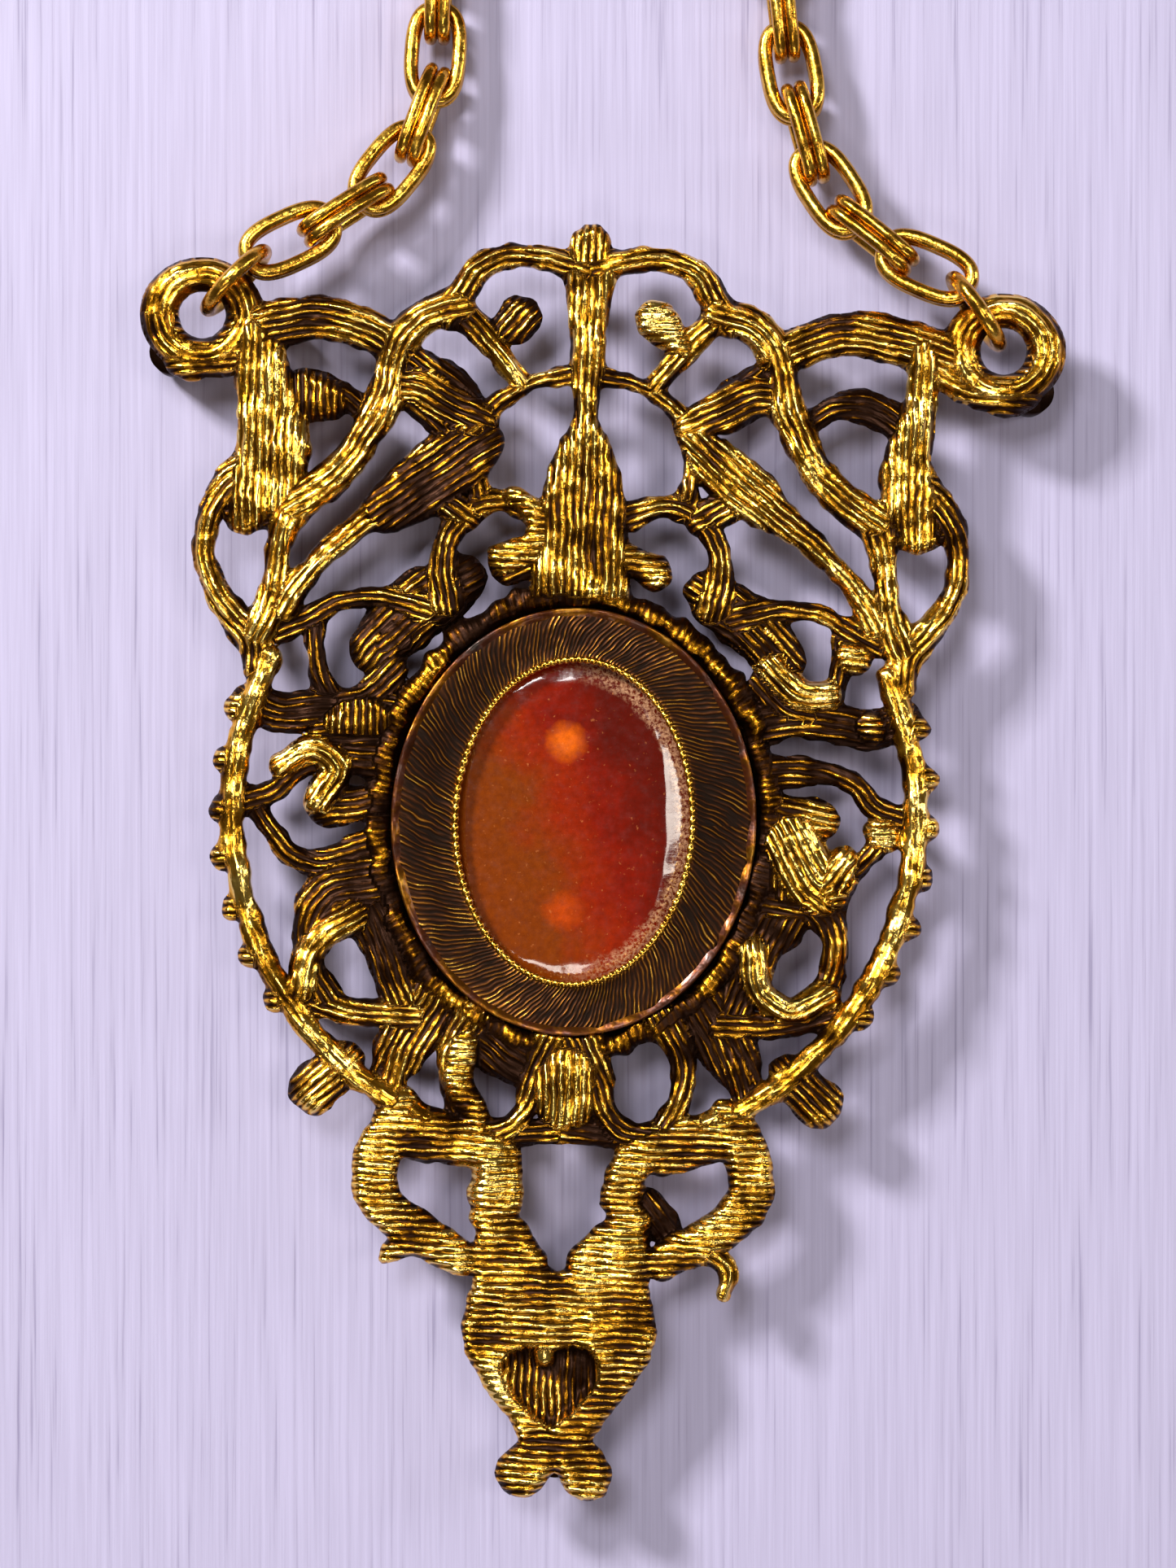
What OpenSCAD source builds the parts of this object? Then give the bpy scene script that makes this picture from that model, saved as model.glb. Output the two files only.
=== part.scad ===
// Pendant necklace: an openwork cast plaque with an oval cabochon in a bezel,
// hung at its two corners from a rope chain of doubled oval rings, with a
// spring-ring clasp.  It lies face down: +Z is the back of the plaque, +Y runs
// from the plaque towards the chain, and z = 0 is the table.  The origin is
// on the table under the middle of the plaque.  Millimetres.

/* [Stone and bezel] */
// length of the oval cabochon
stone_l = 18; // [16:0.5:20]
// width of the oval cabochon
stone_w = 13; // [12:0.5:14]
// thickness of the cabochon, from its flat back to the top of its dome
stone_h = 3.6; // [3.2:0.1:3.6]
// length of the window through which the back of the stone shows
window_l = 16.4; // [14:0.2:16.8]
// width of the window
window_w = 11.9; // [10:0.1:12]
// thickness of the floor of the bezel cup
floor_t = 0.7; // [0.5:0.1:0.8]
// thickness of the wall that grips the stone
bezel_t = 0.6; // [0.4:0.1:0.8]
// height of that wall below the back of the stone
bezel_h = 2.0; // [1:0.1:2.4]

/* [Plaque] */
// thickness of the cast openwork
plaque_t = 1.7; // [1.5:0.1:1.8]
// height of the back of the plaque above the table
back_z = 4.8; // [4.6:0.1:5]
// turn of the plaque in its plane, in degrees
lean = -1.7; // [-4:0.1:4]
// radius of the round frame band
frame_r = 17.5; // [17:0.1:18]
// width of that band
frame_w = 1.25; // [1:0.05:1.6]
// number of bead bumps along each side of it
bead_count = 8; // [4:1:9]
// radius of a bead bump
bead_r = 0.72; // [0.5:0.02:0.9]
// radius of the hole in each corner eye
eye_hole_r = 1.2; // [1.1:0.05:1.3]

/* [Chain] */
// outer length of one oval ring
link_l = 5.5; // [5.3:0.1:5.6]
// outer width of one oval ring
link_w = 3.2; // [3.1:0.1:3.3]
// wire of the oval rings
link_wire = 0.66; // [0.6:0.02:0.7]
// distance between the two rings of a pair
pair_gap = 0.68; // [0.68:0.01:0.74]
// distance from one pair to the next
pitch = 3.3; // [3.2:0.05:3.5]
// outer diameter of a corner jump ring
jump_d = 4.9; // [4.7:0.05:5]
// wire of the jump rings
jump_wire = 0.78; // [0.7:0.02:0.8]

/* [Clasp] */
// outer diameter of the spring ring
clasp_d = 8; // [7:0.5:9]
// diameter of its tube
clasp_tube = 1.9; // [1.6:0.1:2.2]
// length of the catch plate
tag_l = 9; // [8:0.5:11]
// width of the catch plate
tag_w = 4.4; // [4:0.2:5]
// diameter of the hole that the clasp hooks into
tag_hole_d = 2.6; // [2.4:0.1:3]

/* [Hidden] */

stone_z = stone_h;                    // flat back of the stone, and the ledge for the cup
front_z = back_z - plaque_t;          // front of the openwork
mid_z = back_z - plaque_t / 2;
cup_l = 21.6;
cup_w = 18.4;
fit_gap = 0.15;                       // clearance round the bezel cup
rim_l = cup_l + 2.9;                  // raised oval rim of the plaque
rim_w = cup_w + 3.1;
chain_z = link_w / 2;                 // axis of the chain on the table
link_r = link_wire / 2;
jump_r = (jump_d - jump_wire) / 2;
jump_tilt = 89;                       // turn of a corner ring out of the plaque's plane
hang_z = mid_z - 0.26;                // height at which the first pair hangs
gold = [0.83, 0.62, 0.24];
dark_gold = [0.62, 0.43, 0.15];
amber = [0.72, 0.16, 0.03];
glue = [0.55, 0.27, 0.08];
steel = [0.6, 0.6, 0.6];

end_ring_r = 1.4;
end_ring_x = 1.15;                    // from the last joint to the end ring
hang_x = 1.77;                        // to the wire of what the end ring carries
eyelet_r = 0.95;
eyelet_wire_r = 0.25;
tag_t = 0.6;
tag_end_hole = 0.95;
tag_rim = 0.45;                       // wall round that hole
tag_dip = asin((chain_z - tag_t / 2) / (tag_l - 0.5));
clasp_r = (clasp_d - clasp_tube) / 2;
clasp_dip = asin((chain_z - clasp_tube / 2) / (2 * clasp_r + 3));
bore_r = clasp_tube / 2 - 0.37;
gate = [-15, 55];                     // open part of the spring ring, in degrees
bore_end = 118;
bolt = [262, 416];                    // bolt at rest, across the gate
knob_at = 336;
slot = [250, 341];

stone_at = [-1.5, 2.05];            // so that the plaque is centred on the origin

right_eye = [21.3, 24.75];
left_eye = [19.8, 25.4];              // measured to the left

// Scrolls of one half of the plaque.  Each is a smooth centre line of points
// [across, along, width] measured from the middle of the stone.
half_scrolls = [
  // arch beside the finial, and the strap that it runs into
  [[0.4, 28.3, 1.8], [2.2, 28.8, 1.2], [4.0, 28.9, 1.25], [5.6, 28.2, 1.4], [6.4, 27.0, 1.6],
   [7.2, 25.9, 1.9]],
  [[6.6, 26.2, 1.7], [8.4, 25.6, 1.9], [9.5, 24.5, 1.9], [10.0, 23.0, 1.6], [10.3, 21.4, 1.9],
   [11.0, 19.9, 1.8], [12.0, 18.2, 1.8], [13.3, 16.9, 1.9], [14.8, 15.9, 2.1]],
  // knob inside the arch, on its leg
  [[3.4, 22.4, 1.1], [4.4, 23.6, 1.2], [5.5, 24.9, 1.5], [6.6, 26.0, 1.6]],
  [[3.5, 25.8, 2.3], [4.2, 25.0, 1.6], [4.9, 24.3, 1.2]],
  // thin band below the arch, and the branch that meets it
  [[0.6, 22.9, 1.0], [2.6, 22.5, 0.9], [4.3, 21.5, 0.9], [5.2, 20.4, 1.3], [5.5, 18.6, 1.0],
   [5.4, 16.9, 1.1], [5.2, 16.0, 1.2]],
  [[10.2, 22.0, 1.6], [8.6, 22.0, 2.0], [7.0, 21.2, 2.3], [5.4, 20.5, 1.7]],
  // long leaf that runs down to the outer scroll
  [[5.6, 19.6, 1.5], [6.9, 18.4, 2.7], [8.3, 17.2, 2.9], [10.0, 15.9, 2.0], [11.6, 14.7, 1.4],
   [13.0, 13.4, 1.2], [14.3, 12.0, 1.3], [15.2, 10.6, 1.7]],
  // arm to the corner eye, the limb below it and the cross link
  [[9.6, 24.0, 1.9], [11.6, 25.0, 2.1], [13.8, 25.4, 2.3], [16.0, 25.0, 2.5], [18.0, 24.4, 2.7]],
  [[17.1, 24.4, 1.9], [17.2, 22.6, 1.7], [16.9, 20.8, 1.9], [16.5, 19.0, 2.6], [16.7, 17.0, 3.0],
   [17.2, 15.2, 2.0]],
  [[11.0, 20.4, 1.2], [12.5, 21.5, 1.3], [14.2, 21.7, 1.8], [15.6, 21.1, 1.9], [16.6, 20.2, 1.6]],
  // outer scroll and the bar that closes it
  [[16.8, 17.6, 2.8], [18.2, 16.6, 1.9], [19.15, 14.9, 1.3], [19.3, 13.0, 1.2], [18.7, 11.4, 1.4],
   [17.7, 10.1, 1.6], [16.7, 8.9, 2.0], [16.6, 7.4, 1.3]],
  [[14.8, 15.9, 2.1], [15.4, 14.2, 1.5], [15.6, 12.6, 1.3], [15.8, 11.0, 1.7], [16.4, 9.4, 2.0]],
  [[15.2, 15.7, 2.2], [17.6, 15.4, 2.0]],
  // small arch beside the vase, with its knob
  [[2.4, 15.7, 1.5], [4.2, 16.3, 1.2], [5.9, 15.7, 1.3], [6.9, 14.3, 1.3], [7.1, 12.7, 1.5],
   [6.8, 11.2, 1.9]],
  [[6.0, 15.6, 1.6], [7.6, 16.6, 2.0]],
  [[2.2, 13.6, 1.6], [3.7, 12.9, 1.9]],
  // upper scroll beside the rim
  [[6.8, 11.2, 2.2], [8.3, 10.4, 2.4], [9.9, 8.9, 2.0]],
  [[8.2, 10.7, 1.8], [10.3, 11.2, 1.1], [12.2, 11.0, 1.0], [13.7, 10.2, 1.3], [15.4, 9.4, 1.5]],
  [[13.6, 9.8, 1.4], [13.5, 8.4, 1.0], [13.2, 7.0, 1.1], [12.6, 5.9, 1.6]],
  [[9.6, 7.4, 1.8], [10.8, 6.2, 1.5], [11.8, 5.9, 1.3]],
  [[9.6, 5.2, 2.3], [11.4, 5.5, 1.7], [13.4, 5.4, 2.0], [15.2, 5.2, 2.2], [16.9, 5.9, 1.5]],
  // middle scroll
  [[10.2, 2.9, 1.9], [12.6, 2.9, 1.3], [14.3, 2.3, 1.2], [15.3, 1.2, 1.2], [16.9, 0.6, 1.6]],
  [[10.4, -1.9, 2.4], [12.6, -2.5, 1.7], [14.2, -2.2, 1.2], [15.3, -1.2, 1.1], [16.2, 0.1, 1.2]],
  [[10.8, 0.7, 1.9], [12.5, 0.4, 2.2]],
  // lower scroll
  [[10.6, -3.4, 3.0], [12.4, -3.8, 2.4], [13.4, -5.0, 1.7], [13.6, -6.6, 1.3], [13.2, -8.2, 1.6],
   [12.5, -9.3, 2.0]],
  [[10.6, -4.6, 3.2], [9.8, -6.2, 2.4], [9.2, -7.8, 2.0], [8.6, -9.2, 2.0]],
  [[13.2, -9.4, 1.9], [11.4, -10.0, 1.4], [9.4, -10.2, 1.5], [8.0, -10.2, 1.6]],
  [[7.2, -9.4, 2.8], [8.2, -11.2, 3.2], [9.0, -12.9, 2.0]],
  [[8.7, -12.4, 1.5], [9.2, -14.2, 1.4]],
  // ring above the heart
  [[5.0, -10.2, 2.2], [6.0, -12.2, 1.4], [5.8, -14.0, 1.2], [5.0, -15.6, 1.5]],
  [[0.6, -11.4, 2.6], [1.4, -13.2, 2.2], [2.0, -14.8, 1.3], [3.2, -15.9, 1.4], [5.0, -16.0, 1.6]],
  [[0.0, -15.8, 1.5], [2.4, -16.0, 1.4]],
  // knob where the frame ends
  [[11.3, -12.5, 1.9], [12.85, -14.0, 2.7]],
  // side lobe of the heart
  [[8.4, -14.9, 2.0], [9.3, -16.7, 2.3], [9.7, -18.5, 2.4], [8.9, -20.1, 2.2], [7.3, -21.2, 2.2],
   [5.2, -22.4, 2.0]],
  [[7.6, -15.5, 1.8], [5.4, -16.2, 1.7], [3.7, -17.2, 2.1], [3.1, -18.8, 2.2], [3.2, -20.4, 1.8],
   [3.6, -22.0, 2.2]],
  // terminal
  [[0.6, -31.9, 2.2], [1.75, -33.45, 2.6]]
];
// Middle column, whose half outline is given from the finial down to the rim.
column = [
  [0.35, 30.6], [0.9, 30.2], [1.2, 29.2], [1.5, 28.2], [1.2, 27.0], [0.95, 25.0], [0.9, 23.2],
  [0.65, 21.6], [0.65, 20.6], [1.3, 19.4], [1.8, 18.2], [2.1, 16.8], [2.3, 15.0], [2.5, 13.0],
  [2.6, 11.4]
];
// Shield between the heart and the terminal, half outline.
shield = [
  [0, -21.7], [1.2, -22.0], [2.6, -21.3], [4.6, -22.4], [4.5, -23.6], [4.8, -24.8], [5.05, -26.0],
  [4.7, -27.4], [3.7, -29.1], [2.5, -30.6], [1.8, -31.7], [0, -31.8]
];
right_hook = [[6.0, -21.7, 1.3], [7.5, -21.8, 1.2], [8.6, -22.7, 1.0], [8.4, -24.0, 0.9]];
left_tip = [[7.0, -21.4, 1.7], [8.3, -22.0, 1.3], [9.0, -22.6, 0.8]];

// Chain from the corner rings: place where the first pair hangs, then one
// [heading, rise] in degrees for each single pair.
right_start = [19.43, 27.83];
left_start = [-15.85, 29.2];
right_steps = [[155.5, -6.2], [140.4, -9.4], [122.3, -9.9], [105, -4.5], [100, -6.3], [96.4, 0]];
left_steps = [[26, -6.8], [34, -9.4], [51.9, -7.6], [70.3, -8.1], [86.3, -5.2], [88.2, 0]];
first_reach = 1.45;                   // from the corner ring's wire to the first pair
// Runs after them: [pairs, heading of the first pair, turn from pair to pair]
right_runs = [[12, 95, -6.5], [12, 17, -6.5], [12, -61, -3], [12, -97, 0], [11, -99, -2]];
left_runs = [[12, 89, 6.5], [12, 167, 6.5], [12, 245, 3], [12, 281, 0], [11, 283, 2]];

// ---------------------------------------------------------------- geometry

function smooth(p, i, t) =
  let (
    a = p[max(i - 1, 0)],
    b = p[i],
    c = p[i + 1],
    d = p[min(i + 2, len(p) - 1)]
  )
  0.5 * (2 * b + t * (c - a) + t * t * (2 * a - 5 * b + 4 * c - d)
    + t * t * t * (3 * b - a - 3 * c + d));

function curve(p, n) = concat(
  [for (i = [0:len(p) - 2], k = [0:n - 1]) smooth(p, i, k / n)],
  [p[len(p) - 1]]
);

// One tapered stroke with round ends along a smooth centre line.
module stroke(points) {
  c = curve(points, 2);
  for (i = [0:len(c) - 2]) {
    a = c[i];
    b = c[i + 1];
    d = [b[0] - a[0], b[1] - a[1]];
    n = [-d[1], d[0]] / norm(d);
    pa = [a[0], a[1]];
    pb = [b[0], b[1]];
    polygon([pa + n * a[2] / 2, pb + n * b[2] / 2, pb - n * b[2] / 2, pa - n * a[2] / 2]);
  }
  for (q = c) translate([q[0], q[1]]) circle(d = q[2], $fn = 10);
}

// Frame of the plaque: its middle is the stone, and it leans a little.
module on_stone() {
  translate([stone_at[0], stone_at[1], 0]) rotate([0, 0, lean]) children();
}

module oval(l, w, fn = 96) {
  scale([w / l, 1]) circle(d = l, $fn = fn);
}

module frame_band() {
  translate([0, 0.5]) {
    stroke([for (a = [25:-15.5:-68]) [frame_r * cos(a), frame_r * sin(a), frame_w]]);
    for (k = [0:bead_count - 1]) rotate([0, 0, 23.5 - k * 8.2])
      translate([frame_r + 0.5, 0]) circle(bead_r, $fn = 10);
  }
}

module half_outline() {
  for (s = half_scrolls) stroke(s);
  frame_band();
  polygon(concat([[0, column[0][1]]], column, [[0, 11.4]]));
  polygon(shield);
}

module eye_outline(eye) {
  translate(eye) scale([1.08, 1]) circle(r = eye_hole_r + 1.75, $fn = 40);
  stroke([[17.0, 24.8, 2.6], [eye[0] - 1.6, eye[1] - 1.2, 3.4], [eye[0] + 0.2, eye[1] - 1.4, 4.0]]);
}

module plaque_outline() {
  offset(delta = 0.1) offset(delta = -0.1) {
    half_outline();
    mirror([1, 0]) half_outline();
    oval(rim_l, rim_w);
    eye_outline(right_eye);
    mirror([1, 0]) eye_outline(left_eye);
    stroke(right_hook);
    mirror([1, 0]) stroke(left_tip);
    translate([0, -13.7]) circle(1.9, $fn = 32);
  }
}

module feet() {
  foot_at = [[right_eye[0] + 1.6, right_eye[1] - 2.0], [-left_eye[0] - 1.6, left_eye[1] - 1.9],
    [0, -32.6]];
  for (p = foot_at) {
    translate([p[0], p[1], 1.1]) cylinder(r = 1.1, h = front_z - 1.0, $fn = 40);
    translate([p[0], p[1], 1.1]) sphere(r = 1.1, $fn = 40);
  }
}

module plaque() {
  color(gold) on_stone() difference() {
    union() {
      translate([0, 0, front_z]) linear_extrude(plaque_t) plaque_outline();
      feet();
    }
    translate([0, 0, front_z - 1]) linear_extrude(plaque_t + 2) oval(cup_l - 1.4, cup_w - 1.4);
    translate([0, 0, stone_z]) linear_extrude(plaque_t) oval(cup_l + 2 * fit_gap, cup_w + 2 * fit_gap);
    translate([right_eye[0], right_eye[1], 0]) cylinder(r = eye_hole_r, h = 10, $fn = 48);
    translate([-left_eye[0], left_eye[1], 0]) cylinder(r = eye_hole_r, h = 10, $fn = 48);
    translate([0, -28.6, back_z - 0.6]) linear_extrude(2) polygon([[-2.4, 1.6], [2.4, 1.6], [0, -2.2]]);
  }
}

module bezel_cup() {
  color(dark_gold) on_stone() {
    translate([0, 0, stone_z]) linear_extrude(floor_t) difference() {
      oval(cup_l, cup_w);
      oval(window_l, window_w);
    }
    translate([0, 0, stone_z - bezel_h]) linear_extrude(bezel_h) difference() {
      oval(stone_l + 2 * bezel_t + 0.1, stone_w + 2 * bezel_t + 0.1);
      oval(stone_l + 0.1, stone_w + 0.1);
    }
  }
}

module cement_bead() {
  color(glue) on_stone() translate([0, 0, stone_z + floor_t]) linear_extrude(0.3) difference() {
    oval(cup_l + 2 * fit_gap, cup_w + 2 * fit_gap);
    oval(cup_l - 0.8, cup_w - 0.8);
  }
}

// Low dome on a short girdle, with a narrow bevel round the flat back.
module cabochon() {
  girdle = 1.0;
  bevel = 0.35;
  dome = stone_h - girdle - bevel;
  r = stone_w / 2;
  dome_r = (r * r + dome * dome) / (2 * dome);
  edge = asin(r / dome_r);
  profile = concat(
    [for (k = [0:12]) let (a = edge * k / 12) [dome_r * sin(a), dome_r * (1 - cos(a))]],
    [[r, dome + girdle], [r - bevel, stone_h], [0, stone_h]]
  );
  color(amber) on_stone() scale([1, stone_l / stone_w, 1])
    rotate_extrude($fn = 96) polygon(profile);
}

// ------------------------------------------------------------------- chain

// One oval ring in the XY plane, long axis along X.
module oval_ring() {
  s = (link_l - link_w) / 2;
  r = (link_w - link_wire) / 2;
  for (m = [0, 1]) mirror([m, 0, 0]) translate([s, 0, 0]) rotate([0, 0, -90])
    rotate_extrude(angle = 180, $fn = 40) translate([r, 0]) circle(r = link_r, $fn = 20);
  for (y = [-r, r]) translate([-s, y, 0]) rotate([0, 90, 0]) cylinder(r = link_r, h = 2 * s, $fn = 20);
}

module ring_pair() {
  for (z = [-1, 1]) translate([0, 0, z * pair_gap / 2]) oval_ring();
}

function along(step) = [
  cos(step[0]) * cos(step[1]),
  sin(step[0]) * cos(step[1]),
  sin(step[1])
];

// Joint places of the single pairs: the first is where the chain hangs.
function joints(start, steps, n) =
  n == 0 ? [start[0] + stone_at[0], start[1] + stone_at[1], hang_z]
  : n == 1 ? joints(start, steps, 0) + (first_reach + pitch / 2) * along(steps[0])
  : joints(start, steps, n - 1) + pitch * along(steps[n - 1]);

module single_pair(start, steps, k, roll) {
  centre = joints(start, steps, k) - pitch / 2 * along(steps[k - 1]);
  color(gold) translate(centre) rotate([0, -steps[k - 1][1], steps[k - 1][0]])
    rotate([roll, 0, 0]) ring_pair();
}

function run_step(run, i) = [run[1] + i * run[2], 0];

function run_start(start, steps, runs, n) =
  n == 0 ? let (p = joints(start, steps, len(steps))) [p[0], p[1], chain_z]
  : run_place(run_start(start, steps, runs, n - 1), runs[n - 1], runs[n - 1][0]);

// Place of joint i within a run.
function run_place(from, run, i) =
  i == 0 ? from : run_place(from, run, i - 1) + pitch * along(run_step(run, i - 1));

module chain_run(start, steps, runs, n) {
  from = run_start(start, steps, runs, n);
  run = runs[n];
  color(gold) for (i = [0:run[0] - 1]) {
    translate(run_place(from, run, i) + pitch / 2 * along(run_step(run, i)))
      rotate([0, 0, run_step(run, i)[0]]) rotate([90 * (i % 2), 0, 0]) ring_pair();
  }
}

// Corner ring: it stands in the eye and leans over the rim towards the chain.
module corner_ring(eye_x, eye_y, towards) {
  eye = [eye_x * cos(lean) - eye_y * sin(lean), eye_x * sin(lean) + eye_y * cos(lean)];
  d = [towards[0] - eye[0], towards[1] - eye[1]];
  u = d / norm(d);
  centre = [towards[0], towards[1]] - u * jump_r;
  color(gold) translate([centre[0] + stone_at[0], centre[1] + stone_at[1], mid_z])
    rotate([0, 0, atan2(u[1], u[0])])
    rotate([jump_tilt, 0, 0]) rotate_extrude($fn = 72) translate([jump_r, 0]) circle(d = jump_wire, $fn = 28);
}

// Small ring on the last pair; what it carries hangs on its far side.
module end_ring(start, steps, runs) {
  color(gold) at_end(start, steps, runs) translate([end_ring_x, 0, 0]) rotate([90, 0, 0])
    rotate_extrude($fn = 56) translate([end_ring_r, 0]) circle(d = link_wire, $fn = 24);
}

// Frame at the end of a strand: X runs on along the chain.
module at_end(start, steps, runs) {
  last = runs[len(runs) - 1];
  from = run_start(start, steps, runs, len(runs));
  translate(from) rotate([0, 0, run_step(last, last[0] - 1)[0]]) children();
}

module at_clasp() {
  at_end(right_start, right_steps, right_runs) translate([hang_x, 0, 0])
    rotate([0, clasp_dip, 0]) translate([eyelet_r + clasp_r + 1.75, 0, 0]) children();
}

// Plate with a hole at each end: a small one for the end ring, a larger one
// that the clasp hooks into.
module catch_plate() {
  end_r = tag_end_hole + tag_rim;
  far = tag_l - end_r - tag_w / 2;
  color(gold) at_end(left_start, left_steps, left_runs) translate([hang_x, 0, 0]) rotate([0, tag_dip, 0])
    translate([tag_end_hole + tag_rim / 2, 0, -tag_t / 2]) difference() {
      linear_extrude(tag_t) hull() {
        circle(end_r, $fn = 32);
        translate([far, 0]) circle(tag_w / 2, $fn = 32);
      }
      translate([0, 0, -1]) cylinder(r = tag_end_hole, h = tag_t + 2, $fn = 48);
      translate([far, 0, -1]) cylinder(d = tag_hole_d, h = tag_t + 2, $fn = 64);
    }
}

module tube_arc(from, to, r) {
  rotate([0, 0, from]) rotate_extrude(angle = to - from, $fn = 96) translate([clasp_r, 0]) circle(r, $fn = 32);
}

// Hollow ring, open from gate[0] to gate[1], with a slot on top for the knob
// and an eyelet on the chain side.
module clasp_housing() {
  color(gold) at_clasp() difference() {
    union() {
      tube_arc(gate[1], gate[0] + 360, clasp_tube / 2);
      translate([-clasp_r - eyelet_r - 0.8, 0, 0]) rotate_extrude($fn = 48)
        translate([eyelet_r, 0]) circle(eyelet_wire_r, $fn = 20);
    }
    tube_arc(bore_end, gate[0] + 361, bore_r);
    tube_arc(gate[1] - 1, gate[1] + 7, bore_r);
    rotate([0, 0, slot[0]]) rotate_extrude(angle = slot[1] - slot[0], $fn = 96)
      translate([clasp_r - 0.36, 0]) square([0.72, 2]);
  }
}

// Curved bolt that bars the gate, with the knob that a fingernail pulls.
module clasp_bolt() {
  color(gold) at_clasp() {
    tube_arc(bolt[0], bolt[1], bore_r - 0.08);
    rotate([0, 0, knob_at]) translate([clasp_r, 0, 0]) {
      cylinder(r = 0.26, h = 1.5, $fn = 28);
      translate([0, 0, 1.5]) sphere(r = 0.5, $fn = 28);
    }
  }
}

// Return spring inside the closed end of the bore, drawn fully pressed.
module clasp_spring() {
  color(steel) at_clasp() for (a = [bore_end + 4:6:bolt[0] - 80]) rotate([0, 0, a])
    translate([clasp_r, 0, 0]) rotate([90, 0, 0]) rotate_extrude($fn = 24)
      translate([0.36, 0]) circle(0.07, $fn = 10);
}

plaque();
bezel_cup();
cement_bead();
cabochon();
corner_ring(right_eye[0], right_eye[1], right_start);  // right_corner_ring
corner_ring(-left_eye[0], left_eye[1], left_start);  // left_corner_ring
single_pair(right_start, right_steps, 1, 0);  // right_pair_1
single_pair(right_start, right_steps, 2, 90);  // right_pair_2
single_pair(right_start, right_steps, 3, 0);  // right_pair_3
single_pair(right_start, right_steps, 4, 90);  // right_pair_4
single_pair(right_start, right_steps, 5, 0);  // right_pair_5
single_pair(right_start, right_steps, 6, 90);  // right_pair_6
chain_run(right_start, right_steps, right_runs, 0);  // right_run_1
chain_run(right_start, right_steps, right_runs, 1);  // right_run_2
chain_run(right_start, right_steps, right_runs, 2);  // right_run_3
chain_run(right_start, right_steps, right_runs, 3);  // right_run_4
chain_run(right_start, right_steps, right_runs, 4);  // right_run_5
single_pair(left_start, left_steps, 1, 0);  // left_pair_1
single_pair(left_start, left_steps, 2, 90);  // left_pair_2
single_pair(left_start, left_steps, 3, 0);  // left_pair_3
single_pair(left_start, left_steps, 4, 90);  // left_pair_4
single_pair(left_start, left_steps, 5, 0);  // left_pair_5
single_pair(left_start, left_steps, 6, 90);  // left_pair_6
chain_run(left_start, left_steps, left_runs, 0);  // left_run_1
chain_run(left_start, left_steps, left_runs, 1);  // left_run_2
chain_run(left_start, left_steps, left_runs, 2);  // left_run_3
chain_run(left_start, left_steps, left_runs, 3);  // left_run_4
chain_run(left_start, left_steps, left_runs, 4);  // left_run_5
end_ring(right_start, right_steps, right_runs);  // right_end_ring
end_ring(left_start, left_steps, left_runs);  // left_end_ring
catch_plate();
clasp_housing();
clasp_bolt();
clasp_spring();
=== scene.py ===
"""Pendant necklace, lying face down on a pale board.

An openwork cast plaque holds an oval stone in a bezel cup, and hangs by two
corner rings from a rope chain of doubled oval rings with a spring-ring clasp.
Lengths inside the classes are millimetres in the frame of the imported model,
and turn into metres only where a mesh is written.
"""

import logging
import math
from dataclasses import dataclass
from enum import Enum

import bpy
import numpy as np
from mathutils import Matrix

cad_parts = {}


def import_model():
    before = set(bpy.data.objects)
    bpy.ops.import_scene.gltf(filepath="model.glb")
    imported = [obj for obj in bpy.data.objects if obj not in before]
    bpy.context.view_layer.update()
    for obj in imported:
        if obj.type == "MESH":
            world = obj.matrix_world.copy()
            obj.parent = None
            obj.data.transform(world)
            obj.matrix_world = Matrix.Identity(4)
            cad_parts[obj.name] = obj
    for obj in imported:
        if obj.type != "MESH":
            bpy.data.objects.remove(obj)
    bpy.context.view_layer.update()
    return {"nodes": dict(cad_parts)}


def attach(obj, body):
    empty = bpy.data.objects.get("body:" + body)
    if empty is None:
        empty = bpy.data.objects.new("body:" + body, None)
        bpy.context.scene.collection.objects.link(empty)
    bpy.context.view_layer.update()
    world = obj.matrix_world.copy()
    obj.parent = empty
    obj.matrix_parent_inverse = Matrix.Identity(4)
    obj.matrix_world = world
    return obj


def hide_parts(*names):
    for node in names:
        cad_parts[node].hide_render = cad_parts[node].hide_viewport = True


log = logging.getLogger("necklace")
MM = 0.001
TURN = 2.0 * math.pi
UP = np.array([0.0, 0.0, 1.0])


# --------------------------------------------------------------------------
# Numbers and surfaces
# --------------------------------------------------------------------------

def linear(code: str) -> tuple[float, float, float, float]:
    """Turn an sRGB hex colour into linear RGBA.

    Args:
        code: Six hex digits after a hash sign.

    Returns:
        Red, green and blue in linear light, and an alpha of one.
    """
    parts = [int(code[i:i + 2], 16) / 255.0 for i in (1, 3, 5)]
    rgb = [c / 12.92 if c <= 0.04045 else ((c + 0.055) / 1.055) ** 2.4 for c in parts]
    return rgb[0], rgb[1], rgb[2], 1.0


def curve(points: np.ndarray, count: int) -> np.ndarray:
    """Smooth line through points: a Catmull-Rom cubic on each span.

    Args:
        points: Control points, one a row, with any number of columns.
        count: Samples on each span.

    Returns:
        The sampled line, ends included.
    """
    p = np.asarray(points, float)
    a, b = np.vstack([p[:1], p[:-2]]), p[:-1]
    c, d = p[1:], np.vstack([p[2:], p[-1:]])
    t = (np.arange(count) / count)[None, :, None]
    a, b, c, d = (q[:, None, :] for q in (a, b, c, d))
    line = 0.5 * (2 * b + t * (c - a) + t ** 2 * (2 * a - 5 * b + 4 * c - d)
                  + t ** 3 * (3 * b - a - 3 * c + d))
    return np.vstack([line.reshape(-1, p.shape[1]), p[-1:]])


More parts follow.
